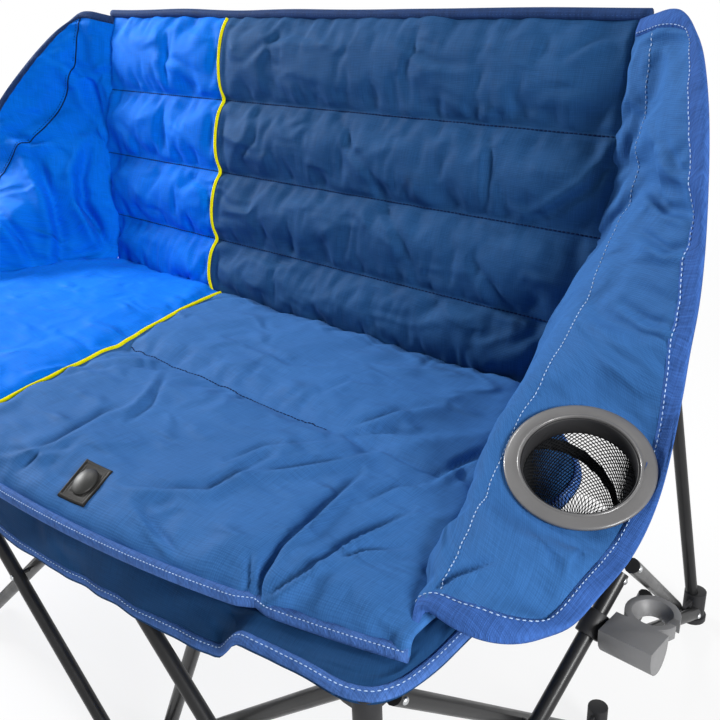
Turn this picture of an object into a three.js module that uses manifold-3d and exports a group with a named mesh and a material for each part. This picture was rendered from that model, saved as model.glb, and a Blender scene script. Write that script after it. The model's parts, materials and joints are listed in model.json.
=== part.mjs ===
import * as THREE from 'three';
import { mergeVertices } from 'three/addons/utils/BufferGeometryUtils.js';
import Module from 'manifold-3d';

const wasm = await Module();
wasm.setup();

// Folding two-seat camp chair. Millimetres, +X to the right as seen from the front, +Y to the back, +Z up.
// The floor is z = 0, the chair is centred on x = 0, and sizes along Y count from a line near the seat's middle.

// Frame sizes
const tubeDiameter = 16.5;
const baySpan = 396;
const frontRowY = -260;
const hubHeight = 338;
const footPivotHeight = 29;
const earReach = 24;
const apexReach = 14;
const rearReach = 28;
const sideRise = 266;
const apexOut = 31;
const earThickness = 5;
const earRadius = 9.5;
const tubeOverrun = 7;
const hubRadius = 12;
const hubHalfHeight = 15;
const footPadHeight = 8;
const footTop = 46;
const rearHubRadius = 15;
const apexPlateRadius = 11;
const studRadius = 8;
const studTop = 383.4;

// Pins and clearances
const pinRadius = 3;
const pinClearance = 0.35;
const sideClearance = 0.35;
const seatClearance = 0.3;
const pinPeen = 1.5;
const crossPinDepth = 5;
const longTubeLeanGap = 1.9;
const rearArmLeanGap = 3.8;

// Telescopic front legs
const postRadius = 6.2;
const legBoreRadius = 6.6;
const postFloorGap = 70;
const socketFloor = 14;

// Struts, braces and trestle
const strutLength = 241;
const strutNeckHalf = 10;
const braceReach = 218;
const braceRise = 96;
const braceBendRadius = 30;
const trestleTop = 330;

// Back posts
const postTopInset = 14;
const postTopY = 314.3;
const postTopZ = 800;

// Back pad
const creaseY = 193;
const creaseZ = 404;
const backTopY = 290;
const backTopZ = 815;
const backHalfBottom = 444;
const backHalfTop = 504;
const backSeamLow = 0.19;
const backSeamMid = 0.44;
const backSeamHigh = 0.7;
const padHalf = 14;
const seamHalf = 5;
const edgeHalf = 4;

// Seat pad
const seatMidZ = 390;
const seatRearY = 203;
const seatSeamY = -30;
const seatLipY = -262;
const seatFrontY = -297;
const seatLowZ = 366;
const seatHalfRear = 440;
const seatHalfFront = 584;
const seatPadHalf = 11;
const frontBow = 30;

// Front valance
const valanceY = -287.05;
const valanceTopZ = 374;
const valanceLowZ = 270;
const valanceKinkX = 430;
const valanceCornerZ = 357;
const valanceThickness = 3;

// Arms
const armHalf = 5;
const armSag = 6;
const armGap = 6;
const armRest = 9;

// Cup ring and basket
const cupX = 624;
const cupY = -5;
const cupZ = 449;
const cupLeanX = 0.24;
const cupLeanY = -0.42;
const cupOuterRadius = 63;
const cupInnerRadius = 52;
const cupRingHalf = 7;
const cupHoleClearance = 0.6;
const basketDepth = 110;
const basketBottomRadius = 41;
const basketWall = 2;

// Stem holder on the right side
const holderStation = 350;
const holderCollarRadius = 12.5;
const holderCollarLength = 26;
const holderBlockLength = 55;
const holderBlockWidth = 36;
const holderBlockHeight = 34;
const holderRingRadius = 27;
const holderRingHeight = 15;
const holderHoleRadius = 12.5;
const holderBevelRadius = 20;
const holderSlot = 9;

// Piping, patch and snap
const pipingRadius = 2.5;
const pipingLift = 0.9;
const pipingBackTopX = -181;
const pipingBackLowX = -158;
const pipingSeatRearX = -146;
const pipingSeatFrontX = -4;
const patchX = 229;
const patchWidth = 38;
const patchLength = 46;
const patchCentre = 0.915;
const patchThickness = 2.2;
const patchLift = 0.7;
const snapRadius = 11;
const snapHeight = 5;
const snapLift = 0.9;

// Derived layout
const tubeRadius = tubeDiameter / 2;
const layer = earThickness / 2 + sideClearance + tubeRadius;
const bayRun = baySpan - 2 * earReach;
const bayRise = hubHeight - footPivotHeight;
const angle = Math.atan2(bayRise, bayRun);
const innerX = baySpan / 2;
const cornerX = baySpan * 1.5;
const sideRun = sideRise / Math.tan(angle);
const apexX = cornerX + apexOut;
const apexY = frontRowY + earReach + sideRun + apexReach;
const apexZ = footPivotHeight + sideRise;
const rearX = cornerX - 6;
const rearY = apexY + apexReach + sideRun + rearReach;
const sideFootY = frontRowY + 2 * earReach + bayRun;
const kneeX = cornerX - earReach;
const midFootX = kneeX - sideRun - earReach;
const trestleX = midFootX - earReach;

const root = new THREE.Group();
root.name = 'camp_loveseat';

const finishes = {
  steel: { color: 0x1e1f22, roughness: 0.42, metalness: 0.2 },
  black: { color: 0x17181a, roughness: 0.55, metalness: 0 },
  grey: { color: 0x5c5e60, roughness: 0.5, metalness: 0 },
  navy: { color: 0x386aac, roughness: 0.9, metalness: 0 },
  blue: { color: 0x0a7af0, roughness: 0.9, metalness: 0 },
  yellow: { color: 0xfae41c, roughness: 0.8, metalness: 0 },
  mesh: { color: 0x1c1d20, roughness: 0.95, metalness: 0 },
};

const V = (x, y, z) => new THREE.Vector3(x, y, z);
const mix = THREE.MathUtils.lerp;
const smooth = THREE.MathUtils.smoothstep;

function solid(geometry) {
  const bare = geometry.index ? geometry.clone() : geometry;
  bare.deleteAttribute('normal');
  bare.deleteAttribute('uv');
  const merged = mergeVertices(bare, 1e-4);
  const mesh = new wasm.Mesh({
    numProp: 3,
    vertProperties: new Float32Array(merged.attributes.position.array),
    triVerts: new Uint32Array(merged.index.array),
  });
  return new wasm.Manifold(mesh);
}

function joined(pieces) {
  return pieces.reduce((sum, piece) => sum.add(piece));
}

function place(name, finish, body) {
  const mesh = body.getMesh();
  const geometry = new THREE.BufferGeometry();
  geometry.setAttribute('position', new THREE.BufferAttribute(new Float32Array(mesh.vertProperties), 3));
  geometry.setIndex(new THREE.BufferAttribute(new Uint32Array(mesh.triVerts), 1));
  geometry.computeVertexNormals();
  const node = new THREE.Mesh(geometry, new THREE.MeshStandardMaterial(finishes[finish]));
  node.name = name;
  root.add(node);
}

// A round rod from one point to another.
function rod(from, to, radius, sides = 12) {
  const run = to.clone().sub(from);
  const geometry = new THREE.CylinderGeometry(radius, radius, run.length(), sides, 1);
  const turn = new THREE.Quaternion().setFromUnitVectors(V(0, 1, 0), run.clone().normalize());
  geometry.applyQuaternion(turn);
  const middle = from.clone().add(to).multiplyScalar(0.5);
  geometry.translate(middle.x, middle.y, middle.z);
  return solid(geometry);
}

function box(x0, x1, y0, y1, z0, z1) {
  const geometry = new THREE.BoxGeometry(x1 - x0, y1 - y0, z1 - z0);
  geometry.translate((x0 + x1) / 2, (y0 + y1) / 2, (z0 + z1) / 2);
  return solid(geometry);
}

// A flat ear that reaches from a hub's axis along a direction, with a round end about the pivot.
function ear(axisPoint, direction, reach) {
  const pivot = axisPoint.clone().addScaledVector(direction, reach);
  const across = V(Math.abs(direction.y), Math.abs(direction.x), 0);
  const half = across.clone().multiplyScalar(earThickness / 2);
  const low = V(
    Math.min(axisPoint.x, pivot.x) - half.x,
    Math.min(axisPoint.y, pivot.y) - half.y,
    axisPoint.z - earRadius,
  );
  const high = V(
    Math.max(axisPoint.x, pivot.x) + half.x,
    Math.max(axisPoint.y, pivot.y) + half.y,
    axisPoint.z + earRadius,
  );
  const plate = box(low.x, high.x, low.y, high.y, low.z, high.z);
  const end = rod(pivot.clone().sub(half), pivot.clone().add(half), earRadius, 16);
  return plate.add(end);
}

function earHole(axisPoint, direction, reach) {
  const pivot = axisPoint.clone().addScaledVector(direction, reach);
  const across = V(Math.abs(direction.y), Math.abs(direction.x), 0);
  const half = across.multiplyScalar(earThickness);
  return rod(pivot.clone().sub(half), pivot.clone().add(half), pinRadius + pinClearance, 10);
}

function footBody(x, y, radius) {
  const pad = rod(V(x, y, 0), V(x, y, footPadHeight), radius + 3, 18);
  const barrel = rod(V(x, y, footPadHeight / 2), V(x, y, footTop), radius, 18);
  return pad.add(barrel);
}

function hubBody(x, y, z) {
  return rod(V(x, y, z - hubHalfHeight), V(x, y, z + hubHalfHeight), hubRadius, 18);
}

// A tube that runs a little past its end pivots. Each pin leaves the tube's axis towards an ear.
function tubeBody(from, to, pins = []) {
  const run = to.clone().sub(from).normalize();
  const start = from.clone().addScaledVector(run, -tubeOverrun);
  const end = to.clone().addScaledVector(run, tubeOverrun);
  const body = rod(start, end, tubeRadius, 12);
  return pins.reduce((sum, pin) => sum.add(pinBody(pin.at, pin.to, pin.length)), body);
}

const earPin = tubeRadius + sideClearance + earThickness + pinPeen;

function pinBody(at, direction, length = earPin) {
  return rod(at, at.clone().addScaledVector(direction, length), pinRadius, 10);
}

const X = V(1, 0, 0);
const Y = V(0, 1, 0);
const negX = V(-1, 0, 0);
const negY = V(0, -1, 0);
const frontLayerY = frontRowY - layer;
const rearLayerY = frontRowY + layer;

// Front mid feet and hubs. Each has an ear on both sides, and the feet a further ear behind for the strut.
const strutEarY = frontRowY + layer + tubeRadius + sideClearance + earThickness / 2;
const strutY = strutEarY + earThickness / 2 + sideClearance + tubeRadius;

for (const [side, sign] of [['right', 1], ['left', -1]]) {
  const x = sign * innerX;
  const axis = V(x, frontRowY, footPivotHeight);
  const strutAxis = V(x, strutEarY, footPivotHeight);
  const outward = V(sign, 0, 0);
  const neck = box(
    x - strutNeckHalf,
    x + strutNeckHalf,
    frontRowY,
    strutEarY + earThickness / 2,
    footPivotHeight - earRadius,
    footPivotHeight + earRadius,
  );
  let foot = joined([
    footBody(x, frontRowY, hubRadius),
    ear(axis, X, earReach),
    ear(axis, negX, earReach),
    neck,
    ear(strutAxis, outward, earReach),
  ]);
  foot = foot.subtract(earHole(axis, X, earReach));
  foot = foot.subtract(earHole(axis, negX, earReach));
  foot = foot.subtract(earHole(strutAxis, outward, earReach));
  place(`foot_front_mid_${side}`, 'black', foot);

  const hubAxis = V(x, frontRowY, hubHeight);
  const stud = rod(hubAxis, V(x, frontRowY, studTop), studRadius, 14);
  let hub = joined([
    hubBody(x, frontRowY, hubHeight),
    stud,
    ear(hubAxis, X, earReach),
    ear(hubAxis, negX, earReach),
  ]);
  hub = hub.subtract(earHole(hubAxis, X, earReach));
  hub = hub.subtract(earHole(hubAxis, negX, earReach));
  place(`hub_front_mid_${side}`, 'black', hub);
}

// A pair of tubes that cross in one bay. The front tube carries the pin, and the rear one has its hole.
function crossingPair(leftX, names, frontRises) {
  const lowLeft = leftX + earReach;
  const lowRight = leftX + baySpan - earReach;
  const frontLow = frontRises > 0 ? lowLeft : lowRight;
  const frontHigh = frontRises > 0 ? lowRight : lowLeft;
  const frontFrom = V(frontLow, frontLayerY, footPivotHeight);
  const frontTo = V(frontHigh, frontLayerY, hubHeight);
  const rearFrom = V(frontHigh, rearLayerY, footPivotHeight);
  const rearTo = V(frontLow, rearLayerY, hubHeight);
  const centre = V(leftX + baySpan / 2, frontLayerY, (footPivotHeight + hubHeight) / 2);
  const reach = 2 * layer - tubeRadius + crossPinDepth;
  const front = tubeBody(frontFrom, frontTo, [
    { at: frontFrom, to: Y },
    { at: frontTo, to: Y },
    { at: centre, to: Y, length: reach },
  ]);
  const rear = tubeBody(rearFrom, rearTo, [
    { at: rearFrom, to: negY },
    { at: rearTo, to: negY },
  ]);
  const hole = rod(centre, centre.clone().addScaledVector(Y, reach + 1), pinRadius + pinClearance, 10);
  place(names[0], 'steel', front);
  place(names[1], 'steel', rear.subtract(hole));
}

crossingPair(-innerX, ['tube_centre_front', 'tube_centre_rear'], -1);
crossingPair(innerX, ['tube_right_front', 'tube_right_rear'], -1);
crossingPair(-cornerX, ['tube_left_front', 'tube_left_rear'], 1);

// Struts. Each leans up from a front mid foot to a point just behind the outer bay's front tube.
const strutSine = Math.min(1, ((bayRun / Math.cos(angle)) * Math.sin(2 * angle)) / (2 * strutLength));
const strutAngle = Math.PI - Math.asin(strutSine) - angle;

for (const [side, sign] of [['right', 1], ['left', -1]]) {
  const low = V(sign * (innerX + earReach), strutY, footPivotHeight);
  const high = low.clone();
  high.x += sign * strutLength * Math.cos(strutAngle);
  high.z += strutLength * Math.sin(strutAngle);
  const pinLength = tubeRadius + sideClearance + earThickness - 0.6;
  const strut = tubeBody(low, high, [{ at: low, to: negY, length: pinLength }]);
  const run = high.clone().sub(low).normalize();
  const cap = rod(
    high.clone().addScaledVector(run, tubeOverrun - 1),
    high.clone().addScaledVector(run, tubeOverrun + 5),
    tubeRadius + 1.5,
    14,
  );
  place(`strut_${side}`, 'steel', strut.add(cap));
}

// One side of the frame: corner foot, telescopic leg, corner hub, side tubes, side hub, rear foot and post.
function sideFrame(side, sign) {
  const cx = sign * cornerX;
  const inward = V(-sign, 0, 0);
  const outward = V(sign, 0, 0);
  const footAxis = V(cx, frontRowY, footPivotHeight);
  const hubAxis = V(cx, frontRowY, hubHeight);

  let foot = joined([
    footBody(cx, frontRowY, hubRadius),
    ear(footAxis, inward, earReach),
    ear(footAxis, Y, earReach),
  ]);
  foot = foot.subtract(earHole(footAxis, inward, earReach));
  foot = foot.subtract(earHole(footAxis, Y, earReach));
  const socket = rod(V(cx, frontRowY, socketFloor), V(cx, frontRowY, footTop + 1), tubeRadius + seatClearance, 14);
  place(`foot_corner_${side}`, 'black', foot.subtract(socket));

  const legTop = hubHeight - hubHalfHeight - 1;
  const leg = rod(V(cx, frontRowY, socketFloor + seatClearance), V(cx, frontRowY, legTop), tubeRadius, 12);
  const legBore = rod(V(cx, frontRowY, 0), V(cx, frontRowY, legTop + 1), legBoreRadius, 14);
  place(`leg_front_${side}`, 'steel', leg.subtract(legBore));

  const postTop = hubHeight + hubHalfHeight - 4;
  const post = rod(V(cx, frontRowY, postFloorGap), V(cx, frontRowY, postTop), postRadius, 14);
  place(`inner_post_${side}`, 'steel', post);

  let hub = joined([
    hubBody(cx, frontRowY, hubHeight),
    ear(hubAxis, inward, earReach),
    ear(hubAxis, Y, earReach),
  ]);
  hub = hub.subtract(earHole(hubAxis, inward, earReach));
  hub = hub.subtract(earHole(hubAxis, Y, earReach));
  const hubBore = rod(
    V(cx, frontRowY, hubHeight - hubHalfHeight - 1),
    V(cx, frontRowY, postTop + seatClearance),
    postRadius + seatClearance,
    14,
  );
  place(`hub_corner_${side}`, 'black', hub.subtract(hubBore));

  const longFrom = V(cx + sign * (layer + longTubeLeanGap), frontRowY + earReach, footPivotHeight);
  const longTo = V(sign * (apexX + layer + longTubeLeanGap), apexY - apexReach, apexZ);
  const downFrom = V(cx + sign * layer, frontRowY + earReach, hubHeight);
  const downTo = V(cx + sign * layer, sideFootY - earReach, footPivotHeight);
  const crossY = frontRowY + earReach + bayRun / 2;
  const crossZ = (hubHeight + footPivotHeight) / 2;
  const crossing = V(cx + sign * layer, crossY, crossZ);
  const share = (crossY - longFrom.y) / (longTo.y - longFrom.y);
  const longCrossX = mix(longFrom.x, longTo.x, share);
  const spacerLength = Math.abs(longCrossX - crossing.x) - tubeRadius - 1;
  const spacer = pinBody(crossing, outward, spacerLength + 1 + crossPinDepth);
  const collar = rod(crossing, crossing.clone().addScaledVector(outward, spacerLength), pinRadius + 2.5, 12);

  const down = tubeBody(downFrom, downTo, [
    { at: downFrom, to: inward },
    { at: downTo, to: inward },
  ]);
  place(`side_down_tube_${side}`, 'steel', joined([down, spacer, collar]));

  const longPin = earPin + longTubeLeanGap;
  const long = tubeBody(longFrom, longTo, [
    { at: longFrom, to: inward, length: longPin },
    { at: longTo, to: inward, length: longPin },
  ]);
  const crossHole = rod(
    crossing,
    crossing.clone().addScaledVector(outward, spacerLength + 2.2 + crossPinDepth),
    pinRadius + pinClearance,
    10,
  );
  place(`side_long_tube_${side}`, 'steel', long.subtract(crossHole));

  const sideAxis = V(cx, sideFootY, footPivotHeight);
  let sideFoot = footBody(cx, sideFootY, hubRadius).add(ear(sideAxis, negY, earReach));
  sideFoot = sideFoot.subtract(earHole(sideAxis, negY, earReach));
  place(`foot_side_${side}`, 'black', sideFoot);

  const ax = sign * apexX;
  const halfPlate = V(earThickness / 2, 0, 0);
  const frontPivot = V(ax, apexY - apexReach, apexZ);
  const rearPivot = V(ax, apexY + apexReach, apexZ);
  const kneePivot = V(sign * kneeX, apexY, apexZ);
  let apex = joined([
    box(
      ax - earThickness / 2,
      ax + earThickness / 2,
      frontPivot.y,
      rearPivot.y,
      apexZ - apexPlateRadius,
      apexZ + apexPlateRadius,
    ),
    rod(frontPivot.clone().sub(halfPlate), frontPivot.clone().add(halfPlate), apexPlateRadius, 18),
    rod(rearPivot.clone().sub(halfPlate), rearPivot.clone().add(halfPlate), apexPlateRadius, 18),
    ear(V(ax, apexY, apexZ), inward, apexX - kneeX),
  ]);
  apex = apex.subtract(earHole(V(ax, apexY, apexZ), negY, apexReach));
  apex = apex.subtract(earHole(V(ax, apexY, apexZ), Y, apexReach));
  apex = apex.subtract(earHole(V(ax, apexY, apexZ), inward, apexX - kneeX));
  place(`hub_side_${side}`, 'black', apex);

  const rx = sign * rearX;
  const armFrom = V(sign * (apexX + layer + rearArmLeanGap), apexY + apexReach, apexZ);
  const armTo = V(rx - sign * (layer + rearArmLeanGap), rearY - rearReach, footPivotHeight);
  const armPin = earPin + rearArmLeanGap;
  const rearArm = tubeBody(armFrom, armTo, [
    { at: armFrom, to: inward, length: armPin },
    { at: armTo, to: outward, length: armPin - pinPeen - earThickness / 2 },
  ]);
  place(`rear_arm_${side}`, 'steel', rearArm);

  const rearAxis = V(rx, rearY, footPivotHeight);
  const postFrom = V(rx, rearY, socketFloor);
  const postTo = V(sign * (backHalfTop - postTopInset), postTopY, postTopZ);
  const lean = postTo.clone().sub(postFrom).normalize();
  const postStart = postFrom.clone().addScaledVector(lean, seatClearance);
  const rearPost = rod(postStart, postTo, tubeRadius, 12);
  place(`rear_post_${side}`, 'steel', rearPost);

  let rearFoot = footBody(rx, rearY, rearHubRadius).add(ear(rearAxis, negY, rearReach));
  rearFoot = rearFoot.subtract(earHole(rearAxis, negY, rearReach));
  const rearSocket = rod(postFrom, postFrom.clone().addScaledVector(lean, footTop), tubeRadius + seatClearance, 14);
  place(`foot_rear_${side}`, 'black', rearFoot.subtract(rearSocket));

  // The brace turns with the rear arm: it shares its pivot and bends up to it.
  const braceX = rx + sign * layer;
  const braceFrom = V(braceX, rearY - rearReach, footPivotHeight);
  const bend = braceFrom.clone().add(V(0, -braceReach, braceRise));
  const armShare = (bend.y - armFrom.y) / (armTo.y - armFrom.y);
  const armPoint = armFrom.clone().lerp(armTo, armShare);
  const drop = tubeRadius / Math.cos(angle) + tubeRadius + 1;
  const braceTop = V(armPoint.x, bend.y, armPoint.z - drop);
  const braceRun = bend.clone().sub(braceFrom).normalize();
  const braceUp = braceTop.clone().sub(bend).normalize();
  const path = new THREE.CurvePath();
  const bendIn = bend.clone().addScaledVector(braceRun, -braceBendRadius);
  const bendOut = bend.clone().addScaledVector(braceUp, braceBendRadius);
  const start = braceFrom.clone().addScaledVector(braceRun, -tubeOverrun);
  path.add(new THREE.LineCurve3(start, bendIn));
  path.add(new THREE.QuadraticBezierCurve3(bendIn, bend, bendOut));
  path.add(new THREE.LineCurve3(bendOut, braceTop));
  const brace = sweep(path, tubeRadius, 10, 16);
  place(`rear_brace_${side}`, 'steel', brace.add(pinBody(braceFrom, inward, tubeRadius + sideClearance + 2)));

  // Inner tube and middle foot, under the seat.
  const kneeFrom = V(kneePivot.x, apexY + layer, apexZ);
  const kneeTo = V(sign * (midFootX + earReach), apexY + layer, footPivotHeight);
  const inner = tubeBody(kneeFrom, kneeTo, [
    { at: kneeFrom, to: negY },
    { at: kneeTo, to: negY },
  ]);
  place(`inner_tube_${side}`, 'steel', inner);

  const midAxis = V(sign * midFootX, apexY, footPivotHeight);
  let midFoot = joined([footBody(midAxis.x, apexY, hubRadius), ear(midAxis, X, earReach), ear(midAxis, negX, earReach)]);
  midFoot = midFoot.subtract(earHole(midAxis, X, earReach));
  midFoot = midFoot.subtract(earHole(midAxis, negX, earReach));
  place(`foot_mid_${side}`, 'black', midFoot);
}

// A round bar swept along a path.
function sweep(path, radius, sides, steps) {
  const circle = new THREE.Shape();
  for (let i = 0; i < sides; i += 1) {
    const turn = (2 * Math.PI * i) / sides;
    const point = [radius * Math.cos(turn), radius * Math.sin(turn)];
    if (i === 0) {
      circle.moveTo(...point);
    } else {
      circle.lineTo(...point);
    }
  }
  circle.closePath();
  const geometry = new THREE.ExtrudeGeometry(circle, { steps, bevelEnabled: false, extrudePath: path });
  return solid(geometry);
}

sideFrame('right', 1);
sideFrame('left', -1);

// Trestle under the seat: two tubes that cross between the middle feet.
const trestleCrossZ = footPivotHeight + trestleX * Math.tan(angle);
const trestleOver = (trestleTop - trestleCrossZ) / Math.tan(angle);

function trestleTube(sign) {
  const y = apexY - sign * layer;
  const from = V(sign * trestleX, y, footPivotHeight);
  const to = V(-sign * trestleOver, y, trestleTop);
  return { from, to };
}

const trestleFront = trestleTube(1);
const trestleRear = trestleTube(-1);
const trestleCentre = V(0, trestleFront.from.y, trestleCrossZ);
const trestleReach = 2 * layer - tubeRadius + crossPinDepth;
const trestleHole = rod(
  trestleCentre,
  trestleCentre.clone().addScaledVector(Y, trestleReach + 1),
  pinRadius + pinClearance,
  10,
);
const trestleA = tubeBody(trestleFront.from, trestleFront.to, [
  { at: trestleFront.from, to: Y },
  { at: trestleCentre, to: Y, length: trestleReach },
]);
const trestleB = tubeBody(trestleRear.from, trestleRear.to, [{ at: trestleRear.from, to: negY }]);
place('trestle_front', 'steel', trestleA);
place('trestle_rear', 'steel', trestleB.subtract(trestleHole));

// A closed sheet between two grids of points of one size.
function slab(front, back) {
  const rows = front.length;
  const columns = front[0].length;
  const points = [...front.flat(), ...back.flat()];
  const shift = rows * columns;
  const index = [];
  const at = (r, c) => r * columns + c;
  for (let r = 0; r < rows - 1; r += 1) {
    for (let c = 0; c < columns - 1; c += 1) {
      const corners = [at(r, c), at(r, c + 1), at(r + 1, c + 1), at(r + 1, c)];
      index.push(corners[0], corners[1], corners[2], corners[0], corners[2], corners[3]);
      index.push(shift + corners[0], shift + corners[2], shift + corners[1]);
      index.push(shift + corners[0], shift + corners[3], shift + corners[2]);
    }
  }
  const wall = (a, b) => index.push(a, a + shift, b, b, a + shift, b + shift);
  for (let c = 0; c < columns - 1; c += 1) {
    wall(at(0, c), at(0, c + 1));
    wall(at(rows - 1, c + 1), at(rows - 1, c));
  }
  for (let r = 0; r < rows - 1; r += 1) {
    wall(at(r + 1, 0), at(r, 0));
    wall(at(r, columns - 1), at(r + 1, columns - 1));
  }
  let volume = 0;
  for (let i = 0; i < index.length; i += 3) {
    const [a, b, c] = [points[index[i]], points[index[i + 1]], points[index[i + 2]]];
    volume += a.dot(b.clone().cross(c));
  }
  const geometry = new THREE.BufferGeometry();
  const flat = new Float32Array(points.flatMap((p) => [p.x, p.y, p.z]));
  geometry.setAttribute('position', new THREE.BufferAttribute(flat, 3));
  geometry.setIndex(volume < 0 ? index.reverse() : index);
  return solid(geometry);
}

// Rows for a set of channels: each channel is cut into the same number of steps.
function channelRows(stops, steps) {
  const rows = [];
  for (let i = 0; i < stops.length - 1; i += 1) {
    for (let k = 0; k < steps; k += 1) {
      rows.push({ v: mix(stops[i], stops[i + 1], k / steps), crown: Math.sin((Math.PI * k) / steps) ** 0.7 });
    }
  }
  rows.push({ v: stops[stops.length - 1], crown: 0 });
  return rows;
}

const columnsOf = (count) => Array.from({ length: count + 1 }, (_, i) => -1 + (2 * i) / count);

// Back pad: four sewn channels between the crease and the top edge.
const backSlant = Math.hypot(backTopY - creaseY, backTopZ - creaseZ);
const backUp = V(0, (backTopY - creaseY) / backSlant, (backTopZ - creaseZ) / backSlant);
const backOut = V(0, -backUp.z, backUp.y);
const backStops = [0, backSeamLow, backSeamMid, backSeamHigh, 1];

function crownAt(stops, v) {
  for (let i = 0; i < stops.length - 1; i += 1) {
    if (v <= stops[i + 1]) {
      const t = (v - stops[i]) / (stops[i + 1] - stops[i]);
      return Math.sin(Math.PI * Math.min(1, Math.max(0, t))) ** 0.7;
    }
  }
  return 0;
}

function backHalfWidth(v) {
  return mix(backHalfBottom, backHalfTop, smooth(v, 0, 0.42));
}

function backHalfDepth(u, v) {
  const side = 1 - Math.abs(u) ** 8;
  const end = v <= 0 || v >= 1 ? edgeHalf : seamHalf;
  return mix(edgeHalf, end + (padHalf - end) * crownAt(backStops, v), side);
}

function backMiddle(u, v) {
  const centre = V(u * backHalfWidth(v), creaseY, creaseZ);
  centre.addScaledVector(backUp, v * backSlant);
  return centre.addScaledVector(backOut, -padHalf);
}

function backFace(u, v, facing) {
  return backMiddle(u, v).addScaledVector(backOut, facing * backHalfDepth(u, v));
}

const backRows = channelRows(backStops, 6);
const backColumns = columnsOf(20);
const backGrid = (facing) => backRows.map((row) => backColumns.map((u) => backFace(u, row.v, facing)));
place('back_pad', 'navy', slab(backGrid(1), backGrid(-1)));

// Seat pad: a rear and a front channel, and a lip that turns down at the front.
const seatLine = [
  V(0, seatRearY, seatMidZ),
  V(0, seatSeamY, seatMidZ),
  V(0, seatLipY, seatMidZ),
  V(0, seatFrontY + 6, seatMidZ - 7),
  V(0, seatFrontY, seatLowZ),
];
const seatStops = [0, 0.42, 0.9, 1];

function seatProfile(v) {
  const cut = seatStops;
  if (v <= cut[1]) {
    return seatLine[0].clone().lerp(seatLine[1], v / cut[1]);
  }
  if (v <= cut[2]) {
    return seatLine[1].clone().lerp(seatLine[2], (v - cut[1]) / (cut[2] - cut[1]));
  }
  const t = (v - cut[2]) / (1 - cut[2]);
  const lip = new THREE.QuadraticBezierCurve3(seatLine[2], V(0, seatFrontY, seatMidZ), seatLine[4]);
  return lip.getPoint(t);
}

function seatOut(v) {
  const step = 0.004;
  const a = seatProfile(Math.max(0, v - step));
  const b = seatProfile(Math.min(1, v + step));
  const run = b.sub(a).normalize();
  return V(0, run.z, -run.y);
}

function seatHalfWidth(y) {
  return mix(seatHalfRear, seatHalfFront, (seatRearY - y) / (seatRearY - seatFrontY));
}

function seatHalfDepth(u, v) {
  const side = 1 - Math.abs(u) ** 8;
  const crown = v <= seatStops[2] ? crownAt(seatStops.slice(0, 3), v) : 0;
  const end = v <= 0 || v >= 1 ? edgeHalf : seamHalf;
  return mix(edgeHalf, end + (seatPadHalf - end) * crown, side);
}

function seatFace(u, v, facing) {
  const centre = seatProfile(v);
  centre.x = u * seatHalfWidth(centre.y);
  const bow = (Math.abs(centre.x) / seatHalfFront) ** 4;
  const forward = smooth(v, 0.5, 1);
  centre.addScaledVector(seatOut(v), facing * seatHalfDepth(u, v));
  centre.y += frontBow * bow * forward;
  return centre;
}

const seatRows = [...channelRows(seatStops.slice(0, 3), 7), { v: 0.925 }, { v: 0.95 }, { v: 0.975 }, { v: 1 }];
const seatColumns = columnsOf(20);
const seatGrid = (facing) => seatRows.map((row) => seatColumns.map((u) => seatFace(u, row.v, facing)));
place('seat_pad', 'navy', slab(seatGrid(1), seatGrid(-1)));

// Front valance: a thin skirt that hangs in front of the upper hubs and is cut up towards both corners.
function valanceLow(x) {
  const a = Math.abs(x);
  const inner = valanceLowZ + 30 * Math.min(1, a / valanceKinkX) ** 2;
  return mix(inner, valanceCornerZ, smooth(a, valanceKinkX, valanceKinkX + 70));
}

function valancePoint(u, t, facing) {
  const x = u * (seatHalfFront - 8);
  const bow = frontBow * (Math.abs(x) / seatHalfFront) ** 4;
  const wave = 2.2 * Math.sin(x / 47) * t;
  const z = mix(valanceTopZ, valanceLow(x), t);
  const y = valanceY + bow - Math.abs(wave) - 6 * t;
  return V(x, y - (facing * valanceThickness) / 2, z);
}

const valanceSteps = [0, 0.25, 0.5, 0.75, 1];
const valanceColumns = columnsOf(36);
const valanceGrid = (facing) => valanceSteps.map((t) => valanceColumns.map((u) => valancePoint(u, t, facing)));
place('front_valance', 'navy', slab(valanceGrid(-1), valanceGrid(1)));

// Arms. Stations run from the back's top corner to the front; each has an inner, a ridge and an outer point.
const armInner = [
  V(backHalfTop + armGap, backTopY + 8, backTopZ - 9),
  V(backHalfTop + armGap, backTopY - 17, backTopZ - 115),
  V(backHalfTop + armGap - 4, creaseY + 50, creaseZ + 176),
  V(backHalfBottom + armGap + 24, creaseY + 22, creaseZ + 56),
  V(seatHalfRear + armGap + 10, creaseY - 6, seatMidZ + 16),
  V(seatHalfWidth(100) + armGap, 100, seatMidZ + armRest),
  V(seatHalfWidth(0) + armGap, 0, seatMidZ + armRest),
  V(seatHalfWidth(-75) + armGap, -75, seatMidZ + armRest),
  V(seatHalfWidth(-140) + armGap, -140, seatMidZ + armRest),
  V(seatHalfWidth(-198) + armGap, -196, seatMidZ + armRest),
];
const armRidge = [
  V(518, 286, 813),
  V(523, 266, 705),
  V(524, 240, 614),
  V(530, 178, 551),
  V(535, 122, 519),
  V(541, 69, 495),
  V(547, -8, 467),
  V(561, -75, 436),
  V(578, -140, 421),
  V(594, -198, 415),
];
const armOuter = [
  V(566, 262, 813),
  V(630, 188, 738),
  V(652, 150, 640),
  V(664, 120, 580),
  V(676, 96, 537),
  V(688, 72, 500),
  V(700, 5, 440),
  V(702, -50, 412),
  V(702, -110, 400),
  V(702, -157, 388),
];

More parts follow.
